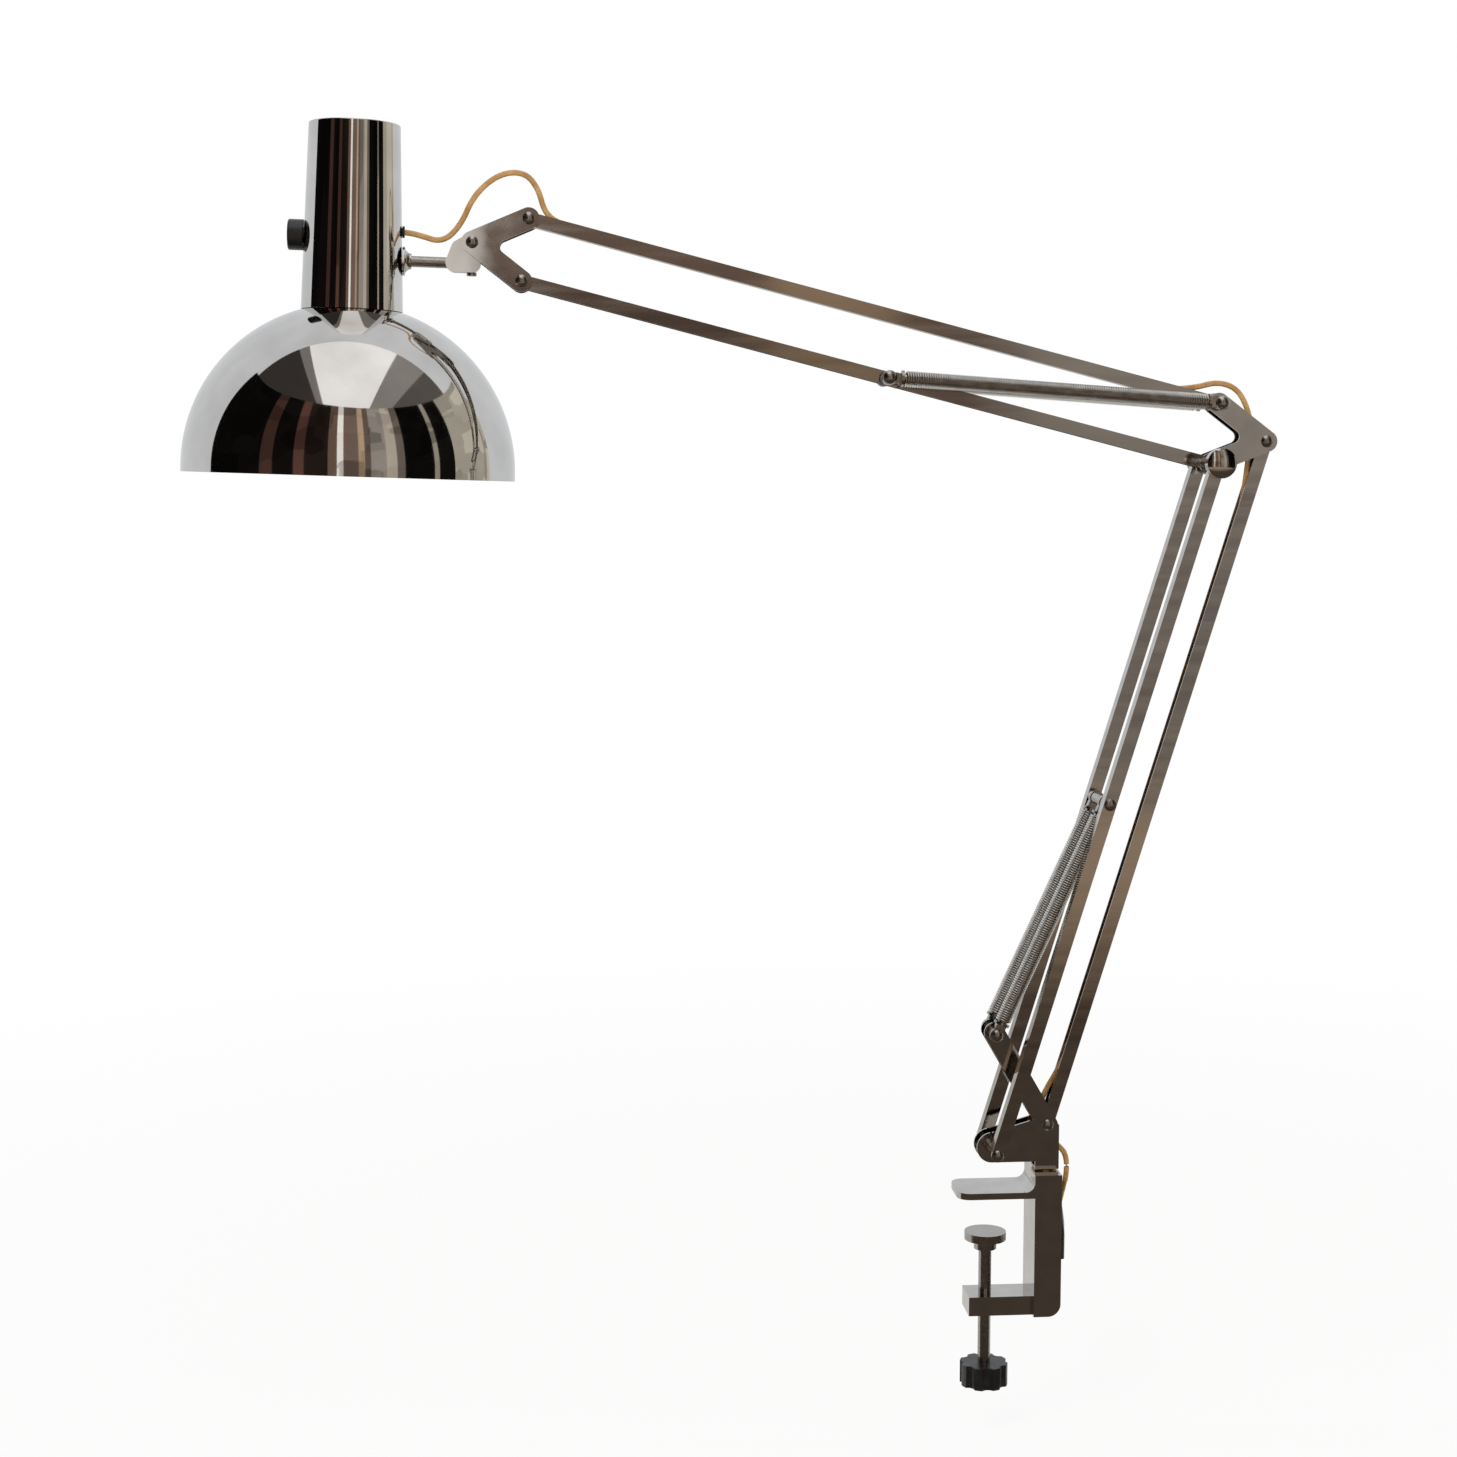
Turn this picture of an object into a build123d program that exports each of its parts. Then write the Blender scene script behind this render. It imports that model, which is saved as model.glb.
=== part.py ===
from build123d import *
import math
import os

# Clamp-on spring-balanced desk lamp, millimetres, +Z up.
# The origin is the middle of the upper clamp jaw's underside, which lies on the table top.
# The arms move in the XZ plane, the shade hangs on the -X side, and -Y is the front.

# Driving sizes of the arms
lower_arm_length = 444.0
lower_arm_angle = 72.95
upper_arm_length = 432.0
upper_arm_angle = 165.6
base_pivot = (0.7, 30.0)
rear_link = (35.1, 13.6)
top_link = (4.7, 36.6)
hub_from_top_pivot = (-33.5, -14.1)
spring_post = (0.7, 73.0)
lower_spring_reach = 227.5
upper_spring_reach = 205.5

# Channel bars, plates and pins
bar_height = 8.0
bar_width = 8.0
bar_wall = 0.9
plate_thickness = 1.5
plate_half_width = 6.4
plate_notch_fillet = 4.0
pin_radius = 2.5
sleeve_radius = 4.0
rivet_head_radius = 3.7
rivet_head_height = 1.5
spring_head_radius = 4.4
spring_head_height = 2.4
low_head_radius = 3.7
low_head_height = 1.1
side_gap = 0.5
end_gap = 0.3
running_clearance = 0.05
fixed_clearance = 0.02

# Springs
spring_offset = 12.0
spring_radius = 5.0
spring_wire = 1.4
spring_turns = 25
eye_radius = 4.4
eye_thickness = 5.0
eye_to_coil = 9.0
plug_length = 8.0
plug_clearance = 0.5
collar_thickness = 1.6
front_bar_offset = 21.5

# Elbow knob and nut
knob_radius = 9.0
knob_height = 8.0
knob_bolt_depth = 5.4
nut_radius = 5.0
nut_height = 5.0
nut_bolt_depth = 3.5
cap_rim_share = 0.75

# Table clamp
jaw_tip = -22.0
jaw_thickness = 4.0
jaw_half_depth = 17.0
jaw_corner = 8.0
jaw_root_fillet = 6.0
throat_back = 26.0
clamp_body_width = 17.0
clamp_body_top = 14.5
throat_height = 64.0
lower_jaw_thickness = 12.0
lower_jaw_tip = -14.0
lower_jaw_half_depth = 12.0
clamp_back_fillet = 8.0
screw_x = -2.0
screw_radius = 4.0
foot_radius = 13.0
foot_height = 5.0
foot_boss_radius = 7.0
foot_boss_height = 6.0
foot_drop = 25.0
screw_tip_radius = 3.0
screw_tip_length = 5.0
screw_length = 84.0
handle_radius = 15.0
handle_height = 14.0
handle_bore_depth = 10.5
handle_scallops = 8
handle_scallop_radius = 4.0

# Swivel between the clamp and the base bracket
swivel_x = 35.0
swivel_radius = 4.75
swivel_length = 38.0
bush_wall = 1.2
bush_flange_radius = 7.6
bush_flange = 0.7
swivel_tenon_radius = 3.0
swivel_rivet_radius = 4.0
swivel_rivet_height = 2.0
base_foot_left = 28.0
base_foot_right = 43.0
base_skirt_drop = 9.5

# Head: knuckle, rod, neck, shade and bulb
head_lean = 1.8
rod_drop = 12.2
rod_radius = 3.25
rod_inner_end = -50.0
rod_outer_end = 2.0
knuckle_end = (-10.0, -12.2)
knuckle_shoulder = (-7.0, -4.0)
knuckle_heel = (0.0, -12.2)
knuckle_radius = 5.4
knuckle_screw_radius = 1.8
knuckle_screw_head = 3.0
neck_from_hub = 70.0
neck_top = 66.0
neck_top_radius = 26.8
neck_foot_radius = 29.9
neck_wall = 0.8
neck_top_fillet = 0.7
shade_rim = -140.0
shade_radius = 98.4
shade_skirt = 3.5
shade_wall = 1.0
flange_radius = 8.5
flange_tip_radius = 4.6
flange_length = 5.4
flange_rim_length = 1.6
rod_nut_radius = 5.5
rod_nut_length = 3.8
bracket_thickness = 1.2
bracket_width = 14.0
holder_radius = 18.0
holder_top = 0.0
holder_length = 50.0
holder_bore = 13.6
nipple_radius = 5.0
nipple_length = 8.0
bulb_cap_radius = 13.0
bulb_cap_length = 27.0
bulb_cap_top = -23.0
bulb_radius = 30.0
bulb_bottom = -128.0
bulb_neck_radius = 12.0
glass_wall = 0.8
switch_height = 0.8
switch_body_radius = 8.0
switch_bush_radius = 4.5
switch_knob_radius = 9.0
switch_knob_length = 9.0
switch_spindle_radius = 2.9
grommet_height = 4.7
grommet_radius = 3.4
grommet_flange = 1.6
grommet_neck_radius = 2.4

# Cord, its coil and its plug
cord_radius = 1.7
cord_in_bar = 1.1
cord_break = 0.4
cord_bend_share = 0.45
cord_into_neck = 13.0
cord_out_of_neck = 9.0
upper_cord_start = 47.0
upper_cord_end = 385.0
coil_heading = 12.0
coil_front = (44.5, 24.0, -48.0)
coil_outer_radius = 33.0
coil_step = 3.9
coil_layer_turns = 5
coil_climb_turns = 0.5
tie_width = 6.0
tie_wall = 1.0
plug_reach = 25.0
plug_drop = 24.0
plug_body_length = 32.0
plug_body_width = 35.0
plug_body_thickness = 13.0
plug_neck_width = 17.5
plug_neck_thickness = 9.1
plug_corner = 2.6
plug_pin_radius = 2.0
plug_pin_length = 19.0
plug_pin_spacing = 18.6


def shifted(point, offset):
    return (point[0] + offset[0], point[1] + offset[1])


def along(point, angle, distance, across=0.0):
    c = math.cos(math.radians(angle))
    s = math.sin(math.radians(angle))
    return (point[0] + c * distance - s * across, point[1] + s * distance + c * across)


def heading(start, end):
    return math.degrees(math.atan2(end[1] - start[1], end[0] - start[0]))


# Pivots in the XZ plane
front_pivot = base_pivot
rear_pivot = shifted(front_pivot, rear_link)
elbow_pivot = along(front_pivot, lower_arm_angle, lower_arm_length)
elbow_rear_pivot = shifted(elbow_pivot, rear_link)
elbow_top_pivot = shifted(elbow_pivot, top_link)
head_top_pivot = along(elbow_top_pivot, upper_arm_angle, upper_arm_length)
head_bottom_pivot = along(elbow_pivot, upper_arm_angle, upper_arm_length)
hub_pivot = shifted(head_top_pivot, hub_from_top_pivot)
lower_spring_foot = shifted(front_pivot, spring_post)
lower_spring_top = along(front_pivot, lower_arm_angle, lower_spring_reach)
upper_spring_end = along(elbow_pivot, upper_arm_angle, upper_spring_reach)

# Places across the lamp, from the middle outwards
bar_face = bar_width / 2
plate_inner = bar_face + side_gap
plate_outer = plate_inner + plate_thickness
eye_inner = spring_offset - eye_thickness / 2
eye_outer = spring_offset + eye_thickness / 2
front_bar_inner = front_bar_offset - bar_width / 2
front_bar_outer = front_bar_offset + bar_width / 2
pin_hole = pin_radius + running_clearance
base_web_top = clamp_body_top + bush_flange + end_gap + plate_thickness
base_web_bottom = base_web_top - plate_thickness
throat_bottom = -throat_height
clamp_bottom = throat_bottom - lower_jaw_thickness
clamp_body_right = throat_back + clamp_body_width

# The dome is a hemisphere on a short straight skirt, open at the top under the neck
shade_inner_radius = shade_radius - shade_wall
ball_middle = shade_rim + shade_skirt
neck_seat = neck_foot_radius - neck_wall
dome_top = ball_middle + math.sqrt(shade_radius**2 - neck_seat**2)
dome_top_inner = ball_middle + math.sqrt(shade_inner_radius**2 - neck_seat**2)
neck_foot = dome_top + fixed_clearance

# Directions of the head, which leans a little at rest
head_x = Vector(math.cos(math.radians(head_lean)), 0, -math.sin(math.radians(head_lean)))
head_z = Vector(math.sin(math.radians(head_lean)), 0, math.cos(math.radians(head_lean)))


def head_point(x, z, y=0.0):
    return Vector(hub_pivot[0], y, hub_pivot[1]) + head_x * x + head_z * z


def neck_radius(height):
    share = (height - neck_foot) / (neck_top - neck_foot)
    return neck_foot_radius + (neck_top_radius - neck_foot_radius) * share


def side_plane(y):
    return Plane(origin=(0, y, 0), x_dir=(1, 0, 0), z_dir=(0, -1, 0))


def arm_plane(pivot, angle, y):
    c = math.cos(math.radians(angle))
    s = math.sin(math.radians(angle))
    return Plane(origin=(pivot[0], y, pivot[1]), x_dir=(c, 0, s), z_dir=(0, -1, 0))


def head_plane(y):
    return Plane(origin=head_point(0, 0, y), x_dir=head_x, z_dir=(0, -1, 0))


def head_cross_plane(x):
    return Plane(origin=head_point(x, 0), x_dir=(0, 1, 0), z_dir=head_x)


neck_axis = Axis(head_point(-neck_from_hub, 0), head_z)
rod_axis = Axis(head_point(0, -rod_drop), head_x)

os.makedirs("parts", exist_ok=True)


def save(part, name):
    part.label = name
    export_step(part, "parts/" + name + ".step")


# Shapes that repeat
def channel_bar(pivot, angle, length, open_side, middle, extra_hole):
    inner = bar_width - 2 * bar_wall
    with BuildPart() as bar:
        with BuildSketch(arm_plane(pivot, angle, middle + bar_width / 2)):
            with Locations((length / 2, 0)):
                SlotCenterToCenter(length, bar_height)
        extrude(amount=bar_width)
        with BuildSketch(arm_plane(pivot, angle, middle + inner / 2)):
            with Locations((length / 2, open_side * bar_wall)):
                Rectangle(length + 2 * bar_height, bar_height)
        extrude(amount=inner, mode=Mode.SUBTRACT)
        with BuildSketch(arm_plane(pivot, angle, middle + bar_width / 2)):
            holes = [(0, 0), (length, 0)]
            if extra_hole:
                holes.append((extra_hole, 0))
            with Locations(*holes):
                Circle(pin_hole)
        extrude(amount=bar_width, mode=Mode.SUBTRACT)
    return bar.part


def domed_pin(pivot, reach, head_radius, head_height):
    profile_plane = Plane(origin=(pivot[0], 0, pivot[1]), x_dir=(1, 0, 0), z_dir=(0, 0, 1))
    tip = reach + head_height
    with BuildPart() as pin:
        with BuildSketch(profile_plane):
            with BuildLine():
                TangentArc((0, -tip), (head_radius, -reach), tangent=(1, 0))
                Line((head_radius, -reach), (pin_radius, -reach))
                Line((pin_radius, -reach), (pin_radius, reach))
                Line((pin_radius, reach), (head_radius, reach))
                TangentArc((0, tip), (head_radius, reach), tangent=(1, 0))
                Line((0, tip), (0, -tip))
            make_face()
        revolve(axis=Axis((pivot[0], 0, pivot[1]), (0, 1, 0)))
    return pin.part


def sleeves(places):
    # Each place is a pivot with the sleeve's two ends across the lamp
    with BuildPart() as group:
        for pivot, low, high in places:
            with BuildSketch(side_plane(high)):
                with Locations(pivot):
                    Circle(sleeve_radius)
                    Circle(pin_radius + fixed_clearance, mode=Mode.SUBTRACT)
            extrude(amount=high - low)
    return group.part


def pair(low, high):
    return [(low, high), (-high, -low)]


def notched_plates(corner, first, second, holes):
    # Two flat V plates, one on each side of the bars
    with BuildPart() as plates:
        for low, high in pair(plate_inner, plate_outer):
            with BuildSketch(side_plane(high)) as outline:
                for tip in (first, second):
                    span = math.dist(corner, tip)
                    middle = ((corner[0] + tip[0]) / 2, (corner[1] + tip[1]) / 2)
                    with Locations(middle):
                        SlotCenterToCenter(span, 2 * plate_half_width, rotation=heading(corner, tip))
                opening = math.radians(heading(corner, first) - heading(corner, second)) / 2
                notch_reach = plate_half_width / abs(math.sin(opening))
                tips_middle = ((first[0] + second[0]) / 2, (first[1] + second[1]) / 2)
                inside = along(corner, heading(corner, tips_middle), notch_reach)
                notch = outline.vertices().sort_by_distance((inside[0], inside[1], 0))[0]
                fillet(notch, plate_notch_fillet)
                with Locations(*holes):
                    Circle(pin_hole, mode=Mode.SUBTRACT)
            extrude(amount=high - low)
    return plates.part


def spring_plugs(eye, angle):
    # End pieces: a flat eye on the pin, a round collar and a shank inside the coil
    # The angle points along the coil
    c = math.cos(math.radians(angle))
    s = math.sin(math.radians(angle))
    shank_radius = spring_radius - spring_wire - plug_clearance
    collar_start = eye_to_coil - end_gap - collar_thickness
    with BuildPart() as plugs:
        for middle in (spring_offset, -spring_offset):
            with BuildSketch(arm_plane(eye, angle, middle + eye_thickness / 2)):
                Circle(eye_radius)
                with Locations((collar_start / 2, 0)):
                    Rectangle(collar_start, 2 * shank_radius)
            extrude(amount=eye_thickness)
            shank_plane = Plane(origin=(eye[0], middle, eye[1]), x_dir=(0, 1, 0), z_dir=(c, 0, s))
            with BuildSketch(shank_plane.offset(collar_start)):
                Circle(spring_radius)
            extrude(amount=collar_thickness)
            with BuildSketch(shank_plane.offset(collar_start + collar_thickness)):
                Circle(shank_radius)
            extrude(amount=plug_length)
            with BuildSketch(side_plane(middle + eye_thickness / 2)):
                with Locations(eye):
                    Circle(pin_hole)
            extrude(amount=eye_thickness, mode=Mode.SUBTRACT)
    return plugs.part


def biarc(start, start_way, end, end_way):
    # Two tangent arcs from one point and direction to the next, drawn into the open line
    chord = end - start
    both = start_way + end_way
    turn = 2 * (1 - start_way.dot(end_way))
    reach = (math.sqrt(chord.dot(both) ** 2 + turn * chord.dot(chord)) - chord.dot(both)) / turn
    middle = (start + end + (start_way - end_way) * reach) * 0.5
    middle_way = (end - end_way * reach - start - start_way * reach).normalized()
    TangentArc(start, middle, tangent=start_way)
    TangentArc(middle, end, tangent=middle_way)


def wound_tube(path, first, last, radius):
    # A tube along a wound path, in quarter turns, with a straight stretch of one diameter at each end
    small = 1e-4
    count = round((last - first) * 4)
    steps = [first + (last - first) * i / count for i in range(count + 1)]
    places = [path(step) for step in steps]
    ways = [(path(step + small) - path(step - small)).normalized() for step in steps]
    head = places[0] - ways[0] * 2 * radius
    tail = places[-1] + ways[-1] * 2 * radius
    with BuildPart() as tube:
        with BuildLine():
            Line(head, places[0])
            for i in range(count):
                biarc(places[i], ways[i], places[i + 1], ways[i + 1])
            Line(places[-1], tail)
        with BuildSketch(Plane(origin=head, z_dir=ways[0])):
            Circle(radius)
        sweep()
    return tube.part


def least_gap(path, first, last, radius):
    # The least distance between the tube's own surfaces, on points over half a turn apart
    per_turn = 24
    count = round((last - first) * per_turn)
    points = [path(first + (last - first) * i / count) for i in range(count + 1)]
    nearest = min(
        (points[i] - points[j]).length
        for i in range(count + 1)
        for j in range(i + per_turn // 2, count + 1)
    )
    return nearest - 2 * radius


def spring_path(foot, top, middle):
    # Helix from the foot's plug to the top's plug, by turns
    angle = heading(foot, top)
    length = math.dist(foot, top) - 2 * eye_to_coil
    c = math.cos(math.radians(angle))
    s = math.sin(math.radians(angle))
    axis_way = Vector(c, 0, s)
    side_way = Vector(-s, 0, c)
    depth_way = Vector(0, 1, 0)
    origin = Vector(foot[0], middle, foot[1]) + axis_way * (eye_to_coil + spring_wire / 2)
    pitch = (length - spring_wire) / spring_turns
    coil_radius = spring_radius - spring_wire / 2

    def place(turn):
        round_way = side_way * math.cos(2 * math.pi * turn) + depth_way * math.sin(2 * math.pi * turn)
        return origin + axis_way * (pitch * turn) + round_way * coil_radius

    return place


def cord_tube(name, points):
    # A free cord: straight runs joined by arcs as large as the runs allow
    spots = [Vector(*point) for point in points]
    radii = []
    for before, spot, after in zip(spots, spots[1:], spots[2:]):
        turn = math.radians((spot - before).get_angle(after - spot))
        run = min((spot - before).length, (after - spot).length)
        radii.append(cord_bend_share * run / math.tan(turn / 2))
    with BuildPart() as tube:
        with BuildLine() as route:
            FilletPolyline(*spots, radius=radii)
        with BuildSketch(Plane(origin=spots[0], z_dir=spots[1] - spots[0])):
            Circle(cord_radius)
        sweep()
    length = sum(edge.length for edge in route.edges())
    share = tube.part.volume / (math.pi * cord_radius**2 * length)
    rounded = [round(radius, 1) for radius in radii]
    print(name, "radii", rounded, "length", round(length, 1), "volume share", round(share, 4))
    save(tube.part, name)


# Table clamp
with BuildPart() as clamp_frame:
    with BuildSketch(side_plane(jaw_half_depth)) as clamp_profile:
        with BuildLine():
            Polyline(
                (jaw_tip, 0),
                (throat_back, 0),
                (throat_back, throat_bottom),
                (lower_jaw_tip, throat_bottom),
                (lower_jaw_tip, clamp_bottom),
                (clamp_body_right, clamp_bottom),
                (clamp_body_right, clamp_body_top),
                (throat_back, clamp_body_top),
                (throat_back, jaw_thickness),
                (jaw_tip, jaw_thickness),
                close=True,
            )
        make_face()
        root = clamp_profile.vertices().sort_by_distance((throat_back, jaw_thickness, 0))[0]
        fillet(root, jaw_root_fillet)
        heel = clamp_profile.vertices().sort_by_distance((clamp_body_right, clamp_bottom, 0))[0]
        fillet(heel, clamp_back_fillet)
    extrude(amount=2 * jaw_half_depth)
    tip_edges = clamp_frame.edges().filter_by(Axis.Z).group_by(Axis.X)[0]
    fillet(tip_edges, jaw_corner)
    for low, high in pair(lower_jaw_half_depth, jaw_half_depth):
        with BuildSketch(side_plane(high)):
            with BuildLine():
                Polyline(
                    (lower_jaw_tip, clamp_bottom),
                    (throat_back, clamp_bottom),
                    (throat_back, throat_bottom),
                    (lower_jaw_tip, throat_bottom),
                    close=True,
                )
            make_face()
        extrude(amount=high - low, mode=Mode.SUBTRACT)
    with BuildSketch(Plane.XY.offset(clamp_bottom)):
        with Locations((screw_x, 0)):
            Circle(screw_radius + running_clearance)
    extrude(amount=lower_jaw_thickness, mode=Mode.SUBTRACT)
    with BuildSketch(Plane.XY.offset(clamp_body_top)):
        with Locations((swivel_x, 0)):
            Circle(swivel_radius + running_clearance + bush_wall + fixed_clearance)
    extrude(amount=-(swivel_length + end_gap), mode=Mode.SUBTRACT)
save(clamp_frame.part, "clamp_frame")

with BuildPart() as swivel_bush:
    bush_outer = swivel_radius + running_clearance + bush_wall
    with BuildSketch(Plane.XY.offset(clamp_body_top)):
        with Locations((swivel_x, 0)):
            Circle(bush_outer)
    extrude(amount=-swivel_length)
    with BuildSketch(Plane.XY.offset(clamp_body_top)):
        with Locations((swivel_x, 0)):
            Circle(bush_flange_radius)
    extrude(amount=bush_flange)
    with BuildSketch(Plane.XY.offset(clamp_body_top + bush_flange)):
        with Locations((swivel_x, 0)):
            Circle(swivel_radius + running_clearance)
    extrude(amount=-(swivel_length + bush_flange), mode=Mode.SUBTRACT)
save(swivel_bush.part, "swivel_bush")

foot_top = -foot_drop
foot_bottom = foot_top - foot_height - foot_boss_height
with BuildPart() as clamp_foot:
    with BuildSketch(Plane.XY.offset(foot_top)):
        with Locations((screw_x, 0)):
            Circle(foot_radius)
    extrude(amount=-foot_height)
    with BuildSketch(Plane.XY.offset(foot_top - foot_height)):
        with Locations((screw_x, 0)):
            Circle(foot_boss_radius)
    extrude(amount=-foot_boss_height)
    with BuildSketch(Plane.XY.offset(foot_bottom)):
        with Locations((screw_x, 0)):
            Circle(screw_tip_radius + running_clearance)
    extrude(amount=screw_tip_length + end_gap, mode=Mode.SUBTRACT)
save(clamp_foot.part, "clamp_foot")

screw_top = foot_bottom - end_gap
with BuildPart() as clamp_screw:
    with BuildSketch(Plane.XY.offset(screw_top)):
        with Locations((screw_x, 0)):
            Circle(screw_radius)
    extrude(amount=-screw_length)
    with BuildSketch(Plane.XY.offset(screw_top)):
        with Locations((screw_x, 0)):
            Circle(screw_tip_radius)
    extrude(amount=screw_tip_length)
save(clamp_screw.part, "clamp_screw")

handle_top = screw_top - screw_length + handle_bore_depth
with BuildPart() as clamp_handle:
    with BuildSketch(Plane.XY.offset(handle_top)):
        with Locations((screw_x, 0)):
            Circle(handle_radius)
            with PolarLocations(handle_radius + handle_scallop_radius / 2, handle_scallops):
                Circle(handle_scallop_radius, mode=Mode.SUBTRACT)
    extrude(amount=-handle_height)
    with BuildSketch(Plane.XY.offset(handle_top)):
        with Locations((screw_x, 0)):
            Circle(screw_radius + fixed_clearance)
    extrude(amount=-(handle_bore_depth + fixed_clearance), mode=Mode.SUBTRACT)
save(clamp_handle.part, "clamp_handle")

# Base bracket on its swivel
with BuildPart() as base_bracket:
    for low, high in pair(plate_inner, plate_outer):
        with BuildSketch(side_plane(high)):
            post_span = math.dist(rear_pivot, lower_spring_foot)
            post_middle = (
                (rear_pivot[0] + lower_spring_foot[0]) / 2,
                (rear_pivot[1] + lower_spring_foot[1]) / 2,
            )
            with Locations(post_middle):
                SlotCenterToCenter(
                    post_span, 2 * plate_half_width, rotation=heading(rear_pivot, lower_spring_foot)
                )
            with Locations(front_pivot):
                Circle(base_skirt_drop)
            with BuildLine():
                Polyline(
                    (front_pivot[0], front_pivot[1] - base_skirt_drop),
                    (base_foot_left, front_pivot[1] - base_skirt_drop),
                    (base_foot_left, base_web_bottom),
                    (base_foot_right, base_web_bottom),
                    (base_foot_right, rear_pivot[1]),
                    (rear_pivot[0], rear_pivot[1] + plate_half_width),
                    (front_pivot[0], front_pivot[1] + base_skirt_drop),
                    close=True,
                )
            make_face()
            with Locations(front_pivot, rear_pivot, lower_spring_foot):
                Circle(pin_hole, mode=Mode.SUBTRACT)
        extrude(amount=high - low)
    with BuildSketch(Plane.XY.offset(base_web_bottom)):
        with Locations(((base_foot_left + base_foot_right) / 2, 0)):
            Rectangle(base_foot_right - base_foot_left, 2 * plate_inner)
        with Locations((swivel_x, 0)):
            Circle(swivel_tenon_radius + fixed_clearance, mode=Mode.SUBTRACT)
    extrude(amount=plate_thickness)
save(base_bracket.part, "base_bracket")

with BuildPart() as swivel_pin:
    with BuildSketch(Plane.XY.offset(base_web_bottom)):
        with Locations((swivel_x, 0)):
            Circle(swivel_radius)
    extrude(amount=-(swivel_length + bush_flange))
    with BuildSketch(Plane.XY.offset(base_web_bottom)):
        with Locations((swivel_x, 0)):
            Circle(swivel_tenon_radius)
    extrude(amount=plate_thickness)
    with BuildSketch(Plane.XY.offset(base_web_top)):
        with Locations((swivel_x, 0)):
            Circle(swivel_rivet_radius)
    extrude(amount=swivel_rivet_height)
save(swivel_pin.part, "swivel_pin")

with BuildPart() as base_pins:
    add(domed_pin(front_pivot, front_bar_outer + end_gap, rivet_head_radius, rivet_head_height))
    add(domed_pin(rear_pivot, plate_outer + end_gap, rivet_head_radius, rivet_head_height))
    add(domed_pin(lower_spring_foot, eye_outer + end_gap, rivet_head_radius, rivet_head_height))
save(base_pins.part, "base_pins")

base_sleeve_places = [
    (front_pivot, low, high) for low, high in pair(plate_outer + end_gap, front_bar_inner - end_gap)
]
base_sleeve_places += [
    (lower_spring_foot, low, high) for low, high in pair(plate_outer + end_gap, eye_inner - end_gap)
]
save(sleeves(base_sleeve_places), "base_sleeves")

# Lower arm
near_bar = channel_bar(
    front_pivot, lower_arm_angle, lower_arm_length, -1, -front_bar_offset, lower_spring_reach
)
save(near_bar, "lower_front_bar_near")
far_bar = channel_bar(
    front_pivot, lower_arm_angle, lower_arm_length, -1, front_bar_offset, lower_spring_reach
)
save(far_bar, "lower_front_bar_far")
rear_bar = channel_bar(rear_pivot, lower_arm_angle, lower_arm_length, 1, 0.0, None)
save(rear_bar, "lower_rear_bar")

lower_pin = domed_pin(lower_spring_top, front_bar_outer + end_gap, low_head_radius, low_head_height)
save(lower_pin, "lower_spring_pin")
lower_sleeve_places = [(lower_spring_top, -(eye_inner - end_gap), eye_inner - end_gap)]
lower_sleeve_places += [
    (lower_spring_top, low, high) for low, high in pair(eye_outer + end_gap, front_bar_inner - end_gap)
]
save(sleeves(lower_sleeve_places), "lower_sleeves")

# Elbow
elbow_plates = notched_plates(
    elbow_rear_pivot,
    elbow_top_pivot,
    elbow_pivot,
    [elbow_rear_pivot, elbow_top_pivot, elbow_pivot],
)
save(elbow_plates, "elbow_plates")
with BuildPart() as elbow_pins:
    add(domed_pin(elbow_top_pivot, eye_outer + end_gap, spring_head_radius, spring_head_height))
    add(domed_pin(elbow_rear_pivot, plate_outer + end_gap, rivet_head_radius, rivet_head_height))
save(elbow_pins.part, "elbow_pins")
elbow_sleeve_places = [
    (elbow_pivot, low, high) for low, high in pair(plate_outer + end_gap, front_bar_inner - end_gap)
]
elbow_sleeve_places += [
    (elbow_top_pivot, low, high) for low, high in pair(plate_outer + end_gap, eye_inner - end_gap)
]
save(sleeves(elbow_sleeve_places), "elbow_sleeves")

cap_face = front_bar_outer + end_gap
bolt_front = cap_face + knob_bolt_depth
bolt_back = cap_face + nut_bolt_depth
with BuildPart() as elbow_bolt:
    with BuildSketch(side_plane(bolt_back)):
        with Locations(elbow_pivot):
            Circle(pin_radius)
    extrude(amount=bolt_back + bolt_front)
save(elbow_bolt.part, "elbow_bolt")


def domed_cap(face, height, radius, bore, bore_depth, side):
    # A domed turned cap with a blind bore, on the near (-1) or far (+1) side
    plane = Plane(origin=(elbow_pivot[0], 0, elbow_pivot[1]), x_dir=(1, 0, 0), z_dir=(0, 0, 1))
    start = side * face
    rim = side * (face + height * cap_rim_share)
    floor = side * (face + bore_depth)
    tip = side * (face + height)
    with BuildPart() as cap:
        with BuildSketch(plane):
            with BuildLine():
                Line((bore, start), (radius, start))
                Line((radius, start), (radius, rim))
                TangentArc((0, tip), (radius, rim), tangent=(1, 0))
                Line((0, tip), (0, floor))
                Line((0, floor), (bore, floor))
                Line((bore, floor), (bore, start))
            make_face()
        revolve(axis=Axis((elbow_pivot[0], 0, elbow_pivot[1]), (0, 1, 0)))
    return cap.part


nut_bore = pin_radius + fixed_clearance
knob = domed_cap(cap_face, knob_height, knob_radius, pin_hole, knob_bolt_depth + end_gap, -1)
save(knob, "elbow_knob")
nut = domed_cap(cap_face, nut_height, nut_radius, nut_bore, nut_bolt_depth + fixed_clearance, 1)
save(nut, "elbow_nut")

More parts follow.
